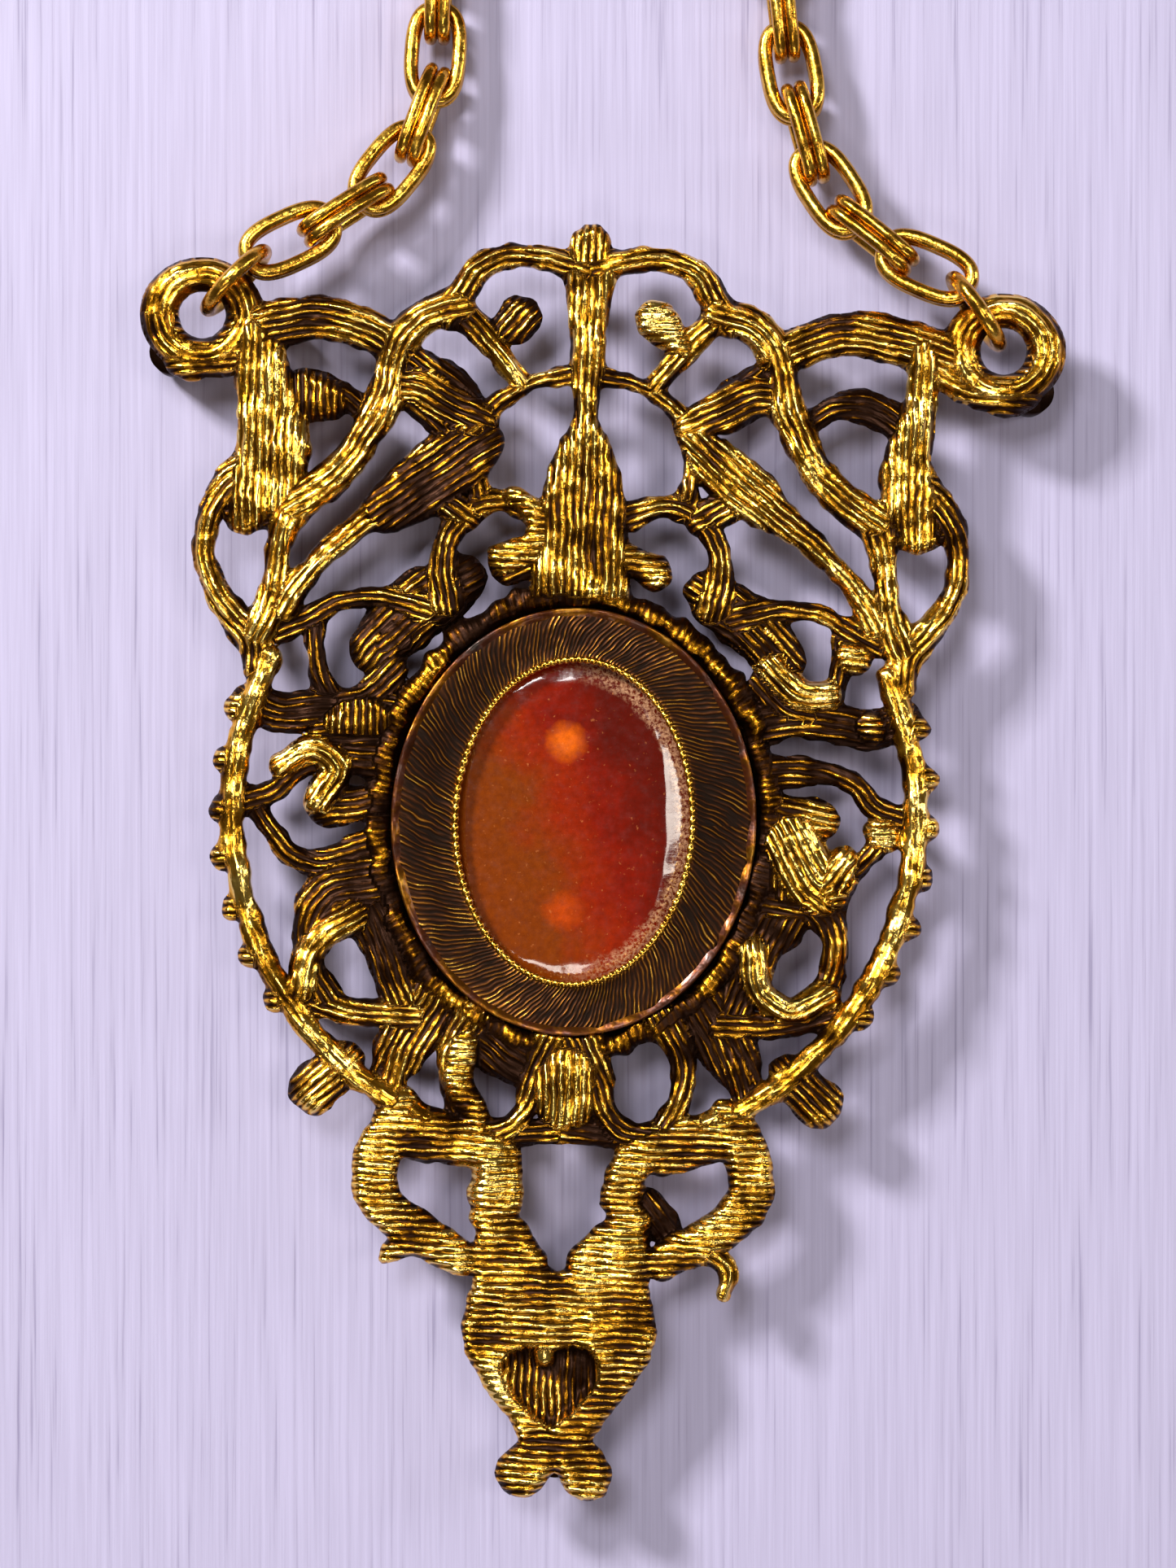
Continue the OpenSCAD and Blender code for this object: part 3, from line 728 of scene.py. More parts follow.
# Limbs of one half, measured from the middle of the stone.
HALF_LIMBS = [
    # arch beside the finial, and the strap that it runs into
    Stroke([[0.4, 28.3, 1.8], [2.2, 28.8, 1.2], [4.0, 28.9, 1.25], [5.6, 28.2, 1.4],
            [6.4, 27.0, 1.6], [7.2, 25.9, 1.9]], 0.05, A, 0.5),
    Stroke([[6.6, 26.2, 1.7], [8.4, 25.6, 1.9], [9.5, 24.5, 1.9], [10.0, 23.0, 1.6],
            [10.3, 21.4, 1.9], [11.0, 19.9, 1.8], [12.0, 18.2, 1.8], [13.3, 16.9, 1.9],
            [14.8, 15.9, 2.1]], 0.0, A, 0.55, 0.12),
    # knob inside the arch, on its leg
    Stroke([[3.4, 22.4, 1.1], [4.4, 23.6, 1.2], [5.5, 24.9, 1.5], [6.6, 26.0, 1.6]], 0.15, A, 0.5),
    # thin band below the arch, and the branch that meets it
    Stroke([[0.6, 22.9, 1.0], [2.6, 22.5, 0.9], [4.3, 21.5, 0.9], [5.2, 20.4, 1.3],
            [5.5, 18.6, 1.0], [5.4, 16.9, 1.1], [5.2, 16.0, 1.2]], 0.3, A, 0.35),
    Stroke([[10.2, 22.0, 1.6], [8.6, 22.0, 2.0], [7.0, 21.2, 2.3], [5.4, 20.5, 1.7]], 0.12, A, 0.5),
    # long leaf that runs down to the outer scroll
    Stroke([[5.6, 19.6, 1.5], [6.9, 18.4, 2.7], [8.3, 17.2, 2.9], [10.0, 15.9, 2.0],
            [11.6, 14.7, 1.4], [13.0, 13.4, 1.2], [14.3, 12.0, 1.3], [15.2, 10.6, 1.7]],
           0.05, A, 0.5, 0.1),
    # arm to the corner eye, the limb below it and the cross link
    Stroke([[9.6, 24.0, 1.9], [11.6, 25.0, 2.1], [13.8, 25.4, 2.3], [16.0, 25.0, 2.5],
            [18.0, 24.4, 2.7]], 0.05, A, 0.6),
    Stroke([[17.1, 24.4, 1.9], [17.2, 22.6, 1.7], [16.9, 20.8, 1.9], [16.5, 19.0, 2.6],
            [16.7, 17.0, 3.0], [17.2, 15.2, 2.0]], 0.0, U, 0.6, 0.12),
    Stroke([[11.0, 20.4, 1.2], [12.5, 21.5, 1.3], [14.2, 21.7, 1.8], [15.6, 21.1, 1.9],
            [16.6, 20.2, 1.6]], 0.55, A, 0.5, -0.2),
    # outer scroll and the bar that closes it
    Stroke([[16.8, 17.6, 2.8], [18.2, 16.6, 1.9], [19.15, 14.9, 1.3], [19.3, 13.0, 1.2],
            [18.7, 11.4, 1.4], [17.7, 10.1, 1.6], [16.7, 8.9, 2.0], [16.6, 7.4, 1.3]],
           0.08, A, 0.55),
    Stroke([[14.8, 15.9, 2.1], [15.4, 14.2, 1.5], [15.6, 12.6, 1.3], [15.8, 11.0, 1.7],
            [16.4, 9.4, 2.0]], 0.05, A, 0.5, 0.05),
    Stroke([[15.2, 15.7, 2.2], [17.6, 15.4, 2.0]], 0.25, A, 0.5, -0.1),
    # small arch beside the vase, with its knob
    Stroke([[2.4, 15.7, 1.5], [4.2, 16.3, 1.2], [5.9, 15.7, 1.3], [6.9, 14.3, 1.3],
            [7.1, 12.7, 1.5], [6.8, 11.2, 1.9]], 0.25, A, 0.4),
    Stroke([[6.0, 15.6, 1.6], [7.6, 16.6, 2.0]], 0.2, A, 0.5),
    # upper scroll beside the rim
    Stroke([[6.8, 11.2, 2.2], [8.3, 10.4, 2.4], [9.9, 8.9, 2.0]], 0.45, A, 0.5, -0.2),
    Stroke([[8.2, 10.7, 1.8], [10.3, 11.2, 1.1], [12.2, 11.0, 1.0], [13.7, 10.2, 1.3],
            [15.4, 9.4, 1.5]], 0.4, A, 0.35, -0.12),
    Stroke([[13.6, 9.8, 1.4], [13.5, 8.4, 1.0], [13.2, 7.0, 1.1], [12.6, 5.9, 1.6]],
           0.55, A, 0.35, -0.2),
    Stroke([[9.6, 7.4, 1.8], [10.8, 6.2, 1.5], [11.8, 5.9, 1.3]], 0.45, A, 0.4, -0.15),
    Stroke([[9.6, 5.2, 2.3], [11.4, 5.5, 1.7], [13.4, 5.4, 2.0], [15.2, 5.2, 2.2],
            [16.9, 5.9, 1.5]], 0.5, A, 0.5, -0.2),
    # middle scroll
    Stroke([[10.2, 2.9, 1.9], [12.6, 2.9, 1.3], [14.3, 2.3, 1.2], [15.3, 1.2, 1.2],
            [16.9, 0.6, 1.6]], 0.4, A, 0.4, -0.12),
    Stroke([[10.4, -1.9, 2.4], [12.6, -2.5, 1.7], [14.2, -2.2, 1.2], [15.3, -1.2, 1.1],
            [16.2, 0.1, 1.2]], 0.45, A, 0.4, -0.15),
    # lower scroll
    Stroke([[10.6, -3.4, 3.0], [12.4, -3.8, 2.4], [13.4, -5.0, 1.7], [13.6, -6.6, 1.3],
            [13.2, -8.2, 1.6], [12.5, -9.3, 2.0]], 0.35, A, 0.5, -0.05),
    Stroke([[10.6, -4.6, 3.2], [9.8, -6.2, 2.4], [9.2, -7.8, 2.0], [8.6, -9.2, 2.0]],
           0.4, A, 0.5, -0.1),
    Stroke([[13.2, -9.4, 1.9], [11.4, -10.0, 1.4], [9.4, -10.2, 1.5], [8.0, -10.2, 1.6]],
           0.35, A, 0.5),
    Stroke([[7.2, -9.4, 2.8], [8.2, -11.2, 3.2], [9.0, -12.9, 2.0]], 0.45, A, 0.5, -0.1),
    Stroke([[8.7, -12.4, 1.5], [9.2, -14.2, 1.4]], 0.3, A, 0.5),
    # ring above the heart
    Stroke([[5.0, -10.2, 2.2], [6.0, -12.2, 1.4], [5.8, -14.0, 1.2], [5.0, -15.6, 1.5]],
           0.3, A, 0.45),
    Stroke([[0.6, -11.4, 2.6], [1.4, -13.2, 2.2], [2.0, -14.8, 1.3], [3.2, -15.9, 1.4],
            [5.0, -16.0, 1.6]], 0.25, A, 0.45),
    Stroke([[0.0, -15.8, 1.5], [2.4, -16.0, 1.4]], 0.45, A, 0.45, -0.15),
    # knob where the frame ends
    Stroke([[11.3, -12.5, 1.9], [12.85, -14.0, 2.7]], 0.1, A, 0.9),
    # side lobe of the heart
    Stroke([[8.4, -14.9, 2.0], [9.3, -16.7, 2.3], [9.7, -18.5, 2.4], [8.9, -20.1, 2.2],
            [7.3, -21.2, 2.2], [5.2, -22.4, 2.0]], 0.0, L, 0.6, 0.12),
    Stroke([[7.6, -15.5, 1.8], [5.4, -16.2, 1.7], [3.7, -17.2, 2.1], [3.1, -18.8, 2.2],
            [3.2, -20.4, 1.8], [3.6, -22.0, 2.2]], 0.0, L, 0.6, 0.15),
    # terminal
    Stroke([[0.6, -31.9, 2.2], [1.75, -33.45, 2.6]], 0.05, L, 0.7),
]

# Limbs that only one side has, with across signed: they lie over the limbs above.
ODD_LIMBS = [
    # wide left limb with its lobe, and the mass between strap and branch
    Stroke([[-16.4, 23.8, 1.8], [-16.0, 21.4, 2.4], [-15.7, 18.8, 3.3], [-16.0, 16.6, 3.2]],
           -0.02, U, 0.8, 0.22),
    Stroke([[-14.4, 21.5, 2.8], [-13.1, 21.3, 2.2]], 0.35, U, 0.9, -0.05),
    Stroke([[-9.2, 22.8, 2.8], [-7.5, 21.6, 3.6], [-6.1, 20.4, 2.8]], 0.3, A, 0.8, -0.16),
    Stroke([[9.3, 22.8, 2.4], [7.8, 21.7, 2.6]], 0.4, A, 0.8, -0.2),
    # left leaf, darkened: partly wash, partly painted shade
    Stroke([[-5.2, 19.2, 2.2], [-6.9, 18.0, 3.5], [-8.6, 16.8, 3.2], [-10.3, 15.5, 2.2]],
           0.02, A, 0.6, -0.22),
    # curl of the left small arch
    Stroke([[-3.4, 16.5, 1.2], [-2.3, 15.3, 1.3], [-2.6, 14.0, 1.4], [-4.0, 13.4, 1.7]],
           0.0, L, 0.5, 0.1),
    # webs beside the rim, sunk and darkened: partly wash, partly painted shade
    Stroke([[-6.2, 12.2, 2.8], [-8.4, 10.7, 3.6], [-10.4, 8.6, 2.8]], 0.45, A, 0.8, -0.08),
    Stroke([[6.4, 12.0, 2.2], [8.4, 10.6, 3.0], [10.4, 8.6, 2.6]], 0.45, A, 0.8, -0.06),
    Stroke([[-11.0, 4.6, 3.0], [-12.6, 4.4, 2.4]], 0.45, A, 0.7, -0.1),
    Stroke([[11.4, -2.6, 3.6], [13.0, -3.4, 2.6]], 0.3, U, 0.7, 0.05),
    Stroke([[-10.8, -4.6, 3.0], [-12.4, -4.4, 2.2]], 0.45, A, 0.7, -0.05),
    Stroke([[-4.6, -10.8, 3.2], [-3.0, -12.0, 2.8], [-2.0, -12.6, 2.0]], 0.4, A, 0.7, -0.15),
    Stroke([[-5.2, -11.6, 1.5], [-5.5, -13.4, 1.6], [-4.6, -15.2, 1.5]], 0.02, L, 0.6, 0.15),
    # curls and knobs beside the rim, right then left, lightened: partly worn plating, partly
    # painted highlight
    Stroke([[10.0, 8.1, 1.7], [11.4, 6.9, 1.7], [12.9, 6.9, 1.4]], 0.0, A, 0.7, 0.25),
    Stroke([[14.1, 8.9, 1.7], [14.2, 8.8, 1.7]], 0.05, L, 0.8, 0.2),
    Stroke([[15.0, 5.3, 1.8], [15.1, 5.2, 1.8]], 0.15, L, 0.8, 0.0),
    Stroke([[11.2, -0.8, 3.2], [12.6, -3.0, 3.2], [13.9, -1.6, 1.6]], 0.05, A, 0.8, 0.22),
    Stroke([[15.8, -0.1, 1.8], [15.9, -0.2, 1.8]], 0.05, L, 0.8, 0.22),
    Stroke([[9.4, -6.4, 1.7], [9.8, -8.4, 1.6], [11.4, -9.4, 1.5], [13.1, -8.6, 1.8]],
           0.0, A, 0.7, 0.25),
    Stroke([[-15.1, 2.4, 1.3], [-13.5, 3.3, 1.5], [-12.2, 2.4, 1.6], [-13.0, 0.9, 1.8]],
           0.0, A, 0.7, 0.22),
    Stroke([[-13.7, -9.0, 1.6], [-13.1, -6.6, 1.6], [-11.2, -5.2, 1.8]], 0.0, A, 0.7, 0.22),
    Stroke([[-10.6, 5.0, 2.4], [-12.2, 4.9, 1.8]], 0.2, U, 0.7, 0.1),
    # heart: fuller lobes, the inner ones lightened: partly worn plating, partly painted highlight
    Stroke([[-8.8, -16.2, 1.8], [-6.6, -16.8, 1.9], [-4.6, -17.0, 1.8]], 0.15, L, 0.7, 0.0),
    Stroke([[-3.4, -17.2, 2.3], [-3.6, -19.0, 2.6]], -0.02, L, 0.9, 0.32),
    Stroke([[8.6, -16.2, 1.6], [6.8, -16.8, 1.5], [5.0, -17.2, 1.6]], 0.15, L, 0.7, 0.05),
    Stroke([[4.2, -19.4, 1.8], [5.2, -20.6, 2.0]], 0.55, A, 0.7, -0.2),
    Stroke([[-3.6, -20.4, 2.2], [-1.8, -22.6, 2.2]], 0.0, L, 0.6, 0.08),
    Stroke([[3.4, -20.4, 2.0], [1.4, -22.6, 2.2]], 0.0, L, 0.6, 0.12),
    # knob inside the arch
    Stroke([[3.5, 25.8, 2.3], [4.2, 25.0, 1.6], [4.9, 24.3, 1.2]], 0.05, L, 0.6, 0.2),
    Stroke([[-3.5, 25.8, 2.3], [-4.2, 25.0, 1.6], [-4.9, 24.3, 1.2]], 0.45, A, 0.7, -0.2),
    # knob of the small arch
    Stroke([[2.2, 13.6, 1.6], [3.7, 12.9, 1.9]], 0.1, L, 0.6, 0.1),
    Stroke([[-2.2, 13.6, 1.6], [-3.7, 12.9, 1.9]], 0.35, A, 0.6, -0.1),
    # knob of the middle scroll
    Stroke([[10.8, 0.7, 1.9], [12.5, 0.4, 2.2]], 0.3, A, 0.6),
    Stroke([[-10.8, 0.7, 1.9], [-12.5, 0.4, 2.2]], 0.35, A, 0.6),
    # hook and tip below the heart
    Stroke([[6.0, -21.7, 1.3], [7.5, -21.8, 1.2], [8.6, -22.7, 1.0], [8.4, -24.0, 0.9]],
           0.05, A, 0.45, 0.1),
    Stroke([[-7.0, -21.4, 1.7], [-8.3, -22.0, 1.3], [-9.0, -22.6, 0.8]], 0.05, L, 0.5, 0.1),
]

COLUMN = [[0.35, 30.6], [0.9, 30.2], [1.2, 29.2], [1.5, 28.2], [1.2, 27.0], [0.95, 25.0],
          [0.9, 23.2], [0.65, 21.6], [0.65, 20.6], [1.3, 19.4], [1.8, 18.2], [2.1, 16.8],
          [2.3, 15.0], [2.5, 13.0], [2.6, 11.4]]
SHIELD = [[1.1, -22.6], [2.4, -21.6], [4.6, -22.4], [4.5, -23.6], [4.8, -24.8], [5.05, -26.0],
          [4.7, -27.4], [3.7, -29.1], [2.5, -30.6], [1.8, -31.7]]
POCKET = [[-3.0, -28.0], [-2.6, -27.2], [-1.6, -26.8], [-0.3, -27.0], [0.8, -26.7], [1.7, -26.9],
          [2.2, -27.8], [2.0, -28.8], [0.9, -30.2], [-0.3, -31.1], [-1.5, -30.2], [-2.6, -29.0]]
POCKET_KNOB = Stroke([[-0.7, -25.4, 1.0], [-0.8, -26.3, 1.0], [-0.7, -27.3, 1.1]],
                     0.0, U, 0.5, 0.4, 0.3)


FEET = ((22.9, 22.75), (-21.4, 23.5), (0.0, -32.6))


@dataclass
class Relief:
    """Two-sided cast relief on a square grid.

    Each limb adds a signed distance to the outline, a rounded back and a
    rounded front.  The back is the highest of all limbs, the front the lowest,
    and the outline is their smooth union.
    """

    low: tuple[float, float]
    high: tuple[float, float]
    step: float
    back_z: float
    front_z: float

    def __post_init__(self) -> None:
        """Lay out the empty grid."""
        xs = np.arange(self.low[0], self.high[0] + self.step / 2, self.step)
        ys = np.arange(self.low[1], self.high[1] + self.step / 2, self.step)
        self.x, self.y = np.meshgrid(xs, ys)
        self.edge = np.full(self.x.shape, 5.0)
        self.back = np.full(self.x.shape, self.back_z - 3.0)
        self.front = np.full(self.x.shape, self.front_z + 3.0)
        self.flow = np.stack([self.x, self.y], -1)
        self.tone = np.zeros(self.x.shape)
        self.comb = np.ones(self.x.shape)

    def window(self, low: np.ndarray, high: np.ndarray) -> tuple[slice, slice]:
        """Part of the grid that a limb between two corners can touch."""
        pad = 1.6
        i = [int(math.floor((v - self.low[0]) / self.step)) for v in (low[0] - pad, high[0] + pad)]
        j = [int(math.floor((v - self.low[1]) / self.step)) for v in (low[1] - pad, high[1] + pad)]
        return slice(max(j[0], 0), max(j[1] + 1, 0)), slice(max(i[0], 0), max(i[1] + 1, 0))

    def lay(self, part: tuple[slice, slice], gap: np.ndarray, drop: float, crown: float,
            flow: np.ndarray, tone: float, comb: float = 1.0) -> None:
        """Add one limb.

        Its back is a plane whose edge is rounded by a quarter circle; outside
        the limb it falls on at a steep slope.  Its front is the same, rounder.

        Args:
            part: Window of the grid.
            gap: Signed distance to the limb's outline, negative inside.
            drop: How far its back lies below the back of the plaque.
            crown: Radius of the rounded back edge.
            flow: Brush coordinates (across, along), in millimetres.
            tone: Brightness of its finish, partly painted highlight and painted shade.
            comb: How strongly the brush combed it.
        """
        steep, front_crown, soft, blend = 1.4, 0.75, 0.05, 0.22

        def rounded(radius: float) -> np.ndarray:
            """Depth of a quarter circle inside the limb, and of the slope outside it."""
            short = np.clip(1.0 + gap / radius, 0.0, 1.0)
            return radius * (1.0 - np.sqrt(1.0 - short ** 2)) + steep * np.clip(gap, 0.0, None)

        back = self.back_z - drop - rounded(crown)
        front = self.front_z + rounded(front_crown)
        old = self.back[part]
        wins = back > old
        self.back[part] = np.maximum(old, back) + soft * np.exp(-np.abs(old - back) / soft) * 0.5
        self.front[part] = np.minimum(self.front[part], front)
        old_edge = self.edge[part]
        h = np.clip(blend - np.abs(old_edge - gap), 0.0, None) / blend
        self.edge[part] = np.minimum(old_edge, gap) - h ** 2 * blend * 0.25
        self.flow[part] = np.where(wins[..., None], flow, self.flow[part])
        self.tone[part] = np.where(wins, tone, self.tone[part])
        self.comb[part] = np.where(wins, comb, self.comb[part])

    def stroke(self, stroke: Stroke, side: float) -> None:
        """Add a tapered limb: the nearest point of its centre line sets its width."""
        line = curve(np.array(stroke.points), 6)
        line[:, 0] *= side
        half = line[:, 2].max() / 2
        part = self.window(line[:, :2].min(0) - half, line[:, :2].max(0) + half)
        x, y = self.x[part], self.y[part]
        gap = np.full(x.shape, 9.0)
        across, along = np.zeros(x.shape), np.zeros(x.shape)
        run = 0.0
        for a, b in zip(line[:-1], line[1:]):
            d = b[:2] - a[:2]
            size = float(np.hypot(*d))
            t = np.clip(((x - a[0]) * d[0] + (y - a[1]) * d[1]) / size ** 2, 0.0, 1.0)
            dx, dy = x - a[0] - t * d[0], y - a[1] - t * d[1]
            here = np.hypot(dx, dy) - (a[2] + t * (b[2] - a[2])) / 2
            near = here < gap
            gap = np.where(near, here, gap)
            across = np.where(near, (d[0] * dy - d[1] * dx) / size, across)
            along = np.where(near, run + t * size, along)
            run += size
        flow = {Groove.ALONG: (across, along), Groove.UPRIGHT: (x, y),
                Groove.LEVEL: (y, x)}[stroke.groove]
        gap = gap + 0.07 * ripple(x, y, 1.9, 1.3 + side) + 0.09 * ripple(x, y, 4.3, 2.9 + side)
        self.lay(part, gap, stroke.drop, min(stroke.crown, half * 0.95), np.stack(flow, -1),
                 stroke.tone, stroke.comb)

    def polygon(self, outline: np.ndarray, drop: float, crown: float, groove: Groove,
                tone: float) -> None:
        """Add a flat limb inside a closed outline: distance to its nearest side."""
        part = self.window(outline.min(0), outline.max(0))
        x, y = self.x[part], self.y[part]
        gap = self.inside(outline, x, y) + 0.06 * ripple(x, y, 1.7, 0.4)
        flow = (x, y) if groove is Groove.UPRIGHT else (y, x)
        self.lay(part, gap, drop, crown, np.stack(flow, -1), tone)

    @staticmethod
    def inside(outline: np.ndarray, x: np.ndarray, y: np.ndarray) -> np.ndarray:
        """Signed distance to a closed outline, negative inside, by crossings of a ray."""
        gap = np.full(x.shape, 99.0)
        odd = np.zeros(x.shape, bool)
        for a, b in zip(outline, np.roll(outline, -1, 0)):
            d = b - a
            t = np.clip(((x - a[0]) * d[0] + (y - a[1]) * d[1]) / float(d @ d), 0.0, 1.0)
            gap = np.minimum(gap, np.hypot(x - a[0] - t * d[0], y - a[1] - t * d[1]))
            if a[1] != b[1]:
                cross = (a[1] > y) != (b[1] > y)
                odd ^= cross & (x < a[0] + (y - a[1]) / (b[1] - a[1]) * d[0])
        return np.where(odd, -gap, gap)

    @staticmethod
    def oval(x: np.ndarray, y: np.ndarray, half_x: float, half_y: float) -> np.ndarray:
        """Near distance to an ellipse: its level function over the length of its slope."""
        k = np.hypot(x / half_x, y / half_y)
        slope = np.hypot(x / half_x ** 2, y / half_y ** 2)
        return np.where(k > 1e-6, k * (k - 1.0) / np.maximum(slope, 1e-9), -min(half_x, half_y))

    def cut(self, gap: np.ndarray, crown: float) -> None:
        """Cut a hole: keep only what lies outside it, and round its back edge."""
        self.edge = np.maximum(self.edge, -gap)
        short = np.clip(1.0 - gap / crown, 0.0, 1.0)
        level = self.back_z - crown * (1.0 - np.sqrt(1.0 - short ** 2))
        self.back = np.minimum(self.back, level)

    def surface(self) -> Surface:
        """Close the relief: marching squares for back and front, and a wall between them.

        A cell whose corners lie inside gives a square; a cell that the outline
        crosses gives the polygon of its inner corners and of the two places
        where the outline crosses its sides.

        Returns:
            The closed surface.
        """
        small = 0.12 * self.step
        f = np.where(np.abs(self.edge) < small, np.where(self.edge < 0, -small, small), self.edge)
        front = np.minimum(self.front, self.back - 0.3)
        inside = f < 0
        grids = [self.x, self.y, self.back, front, self.flow[..., 0], self.flow[..., 1],
                 self.tone, self.comb]
        values = [np.stack([g[inside] for g in grids], -1)]
        corner = np.full(f.shape, -1)
        corner[inside] = np.arange(inside.sum())
        total = int(inside.sum())
        edges = []
        for axis in (1, 0):
            first = (slice(None), slice(None, -1)) if axis else (slice(None, -1), slice(None))
            second = (slice(None), slice(1, None)) if axis else (slice(1, None), slice(None))
            crossed = inside[first] != inside[second]
            t = (f[first] / (f[first] - f[second]))[crossed]
            near = inside[first][crossed]
            rows = []
            for n, g in enumerate(grids):
                a, b = g[first][crossed], g[second][crossed]
                rows.append(a + t * (b - a) if n < 2 else np.where(near, a, b))
            values.append(np.stack(rows, -1))
            ids = np.full(crossed.shape, -1)
            ids[crossed] = total + np.arange(crossed.sum())
            total += int(crossed.sum())
            edges.append(ids)
        data = np.vstack(values)
        rim = np.arange(len(values[0]), total)
        back_fall, front_rise, thinnest = 0.16, 0.2, 0.1
        data[rim, 2] -= back_fall
        data[rim, 3] += front_rise
        data[rim, 2] = np.maximum(data[rim, 2], data[rim, 3] + thinnest)
        ring = {"c0": corner[:-1, :-1], "c1": corner[:-1, 1:], "c2": corner[1:, 1:],
                "c3": corner[1:, :-1], "e0": edges[0][:-1], "e1": edges[1][:, 1:],
                "e2": edges[0][1:], "e3": edges[1][:, :-1]}
        mask = (inside[:-1, :-1] + 2 * inside[:-1, 1:] + 4 * inside[1:, 1:] + 8 * inside[1:, :-1])
        cases = {1: "c0 e0 e3", 2: "c1 e1 e0", 3: "c0 c1 e1 e3", 4: "c2 e2 e1",
                 5: "c0 e0 e1 c2 e2 e3", 6: "c1 c2 e2 e0", 7: "c0 c1 c2 e2 e3", 8: "c3 e3 e2",
                 9: "c0 e0 e2 c3", 10: "c1 e1 e2 c3 e3 e0", 11: "c0 c1 e1 e2 c3",
                 12: "c2 c3 e3 e1", 13: "c0 e0 e1 c2 c3", 14: "c1 c2 c3 e3 e0", 15: "c0 c1 c2 c3"}
        faces, walls = [], []
        for case, words in cases.items():
            at = mask == case
            names = words.split()
            ids = np.stack([ring[n][at] for n in names], -1)
            faces += ids.tolist() + (ids[:, ::-1] + total).tolist()
            for k, name in enumerate(names):
                after = (k + 1) % len(names)
                if name[0] == "e" and names[after][0] == "e":
                    a, b = ids[:, k], ids[:, after]
                    walls.append(np.stack([b, a, a + total, b + total], -1))
        faces += np.vstack(walls).tolist()
        points = np.vstack([data[:, [0, 1, 2]], data[:, [0, 1, 3]]])
        flow = np.vstack([data[:, 4:6], data[:, 4:6]])
        front_shade = data[:, 6:8] - [0.1, 0.5]
        tone = np.vstack([data[:, 6:8], front_shade])
        order = np.concatenate([np.asarray(g) for g in faces])
        return Surface(points, faces, flow[order], tone)


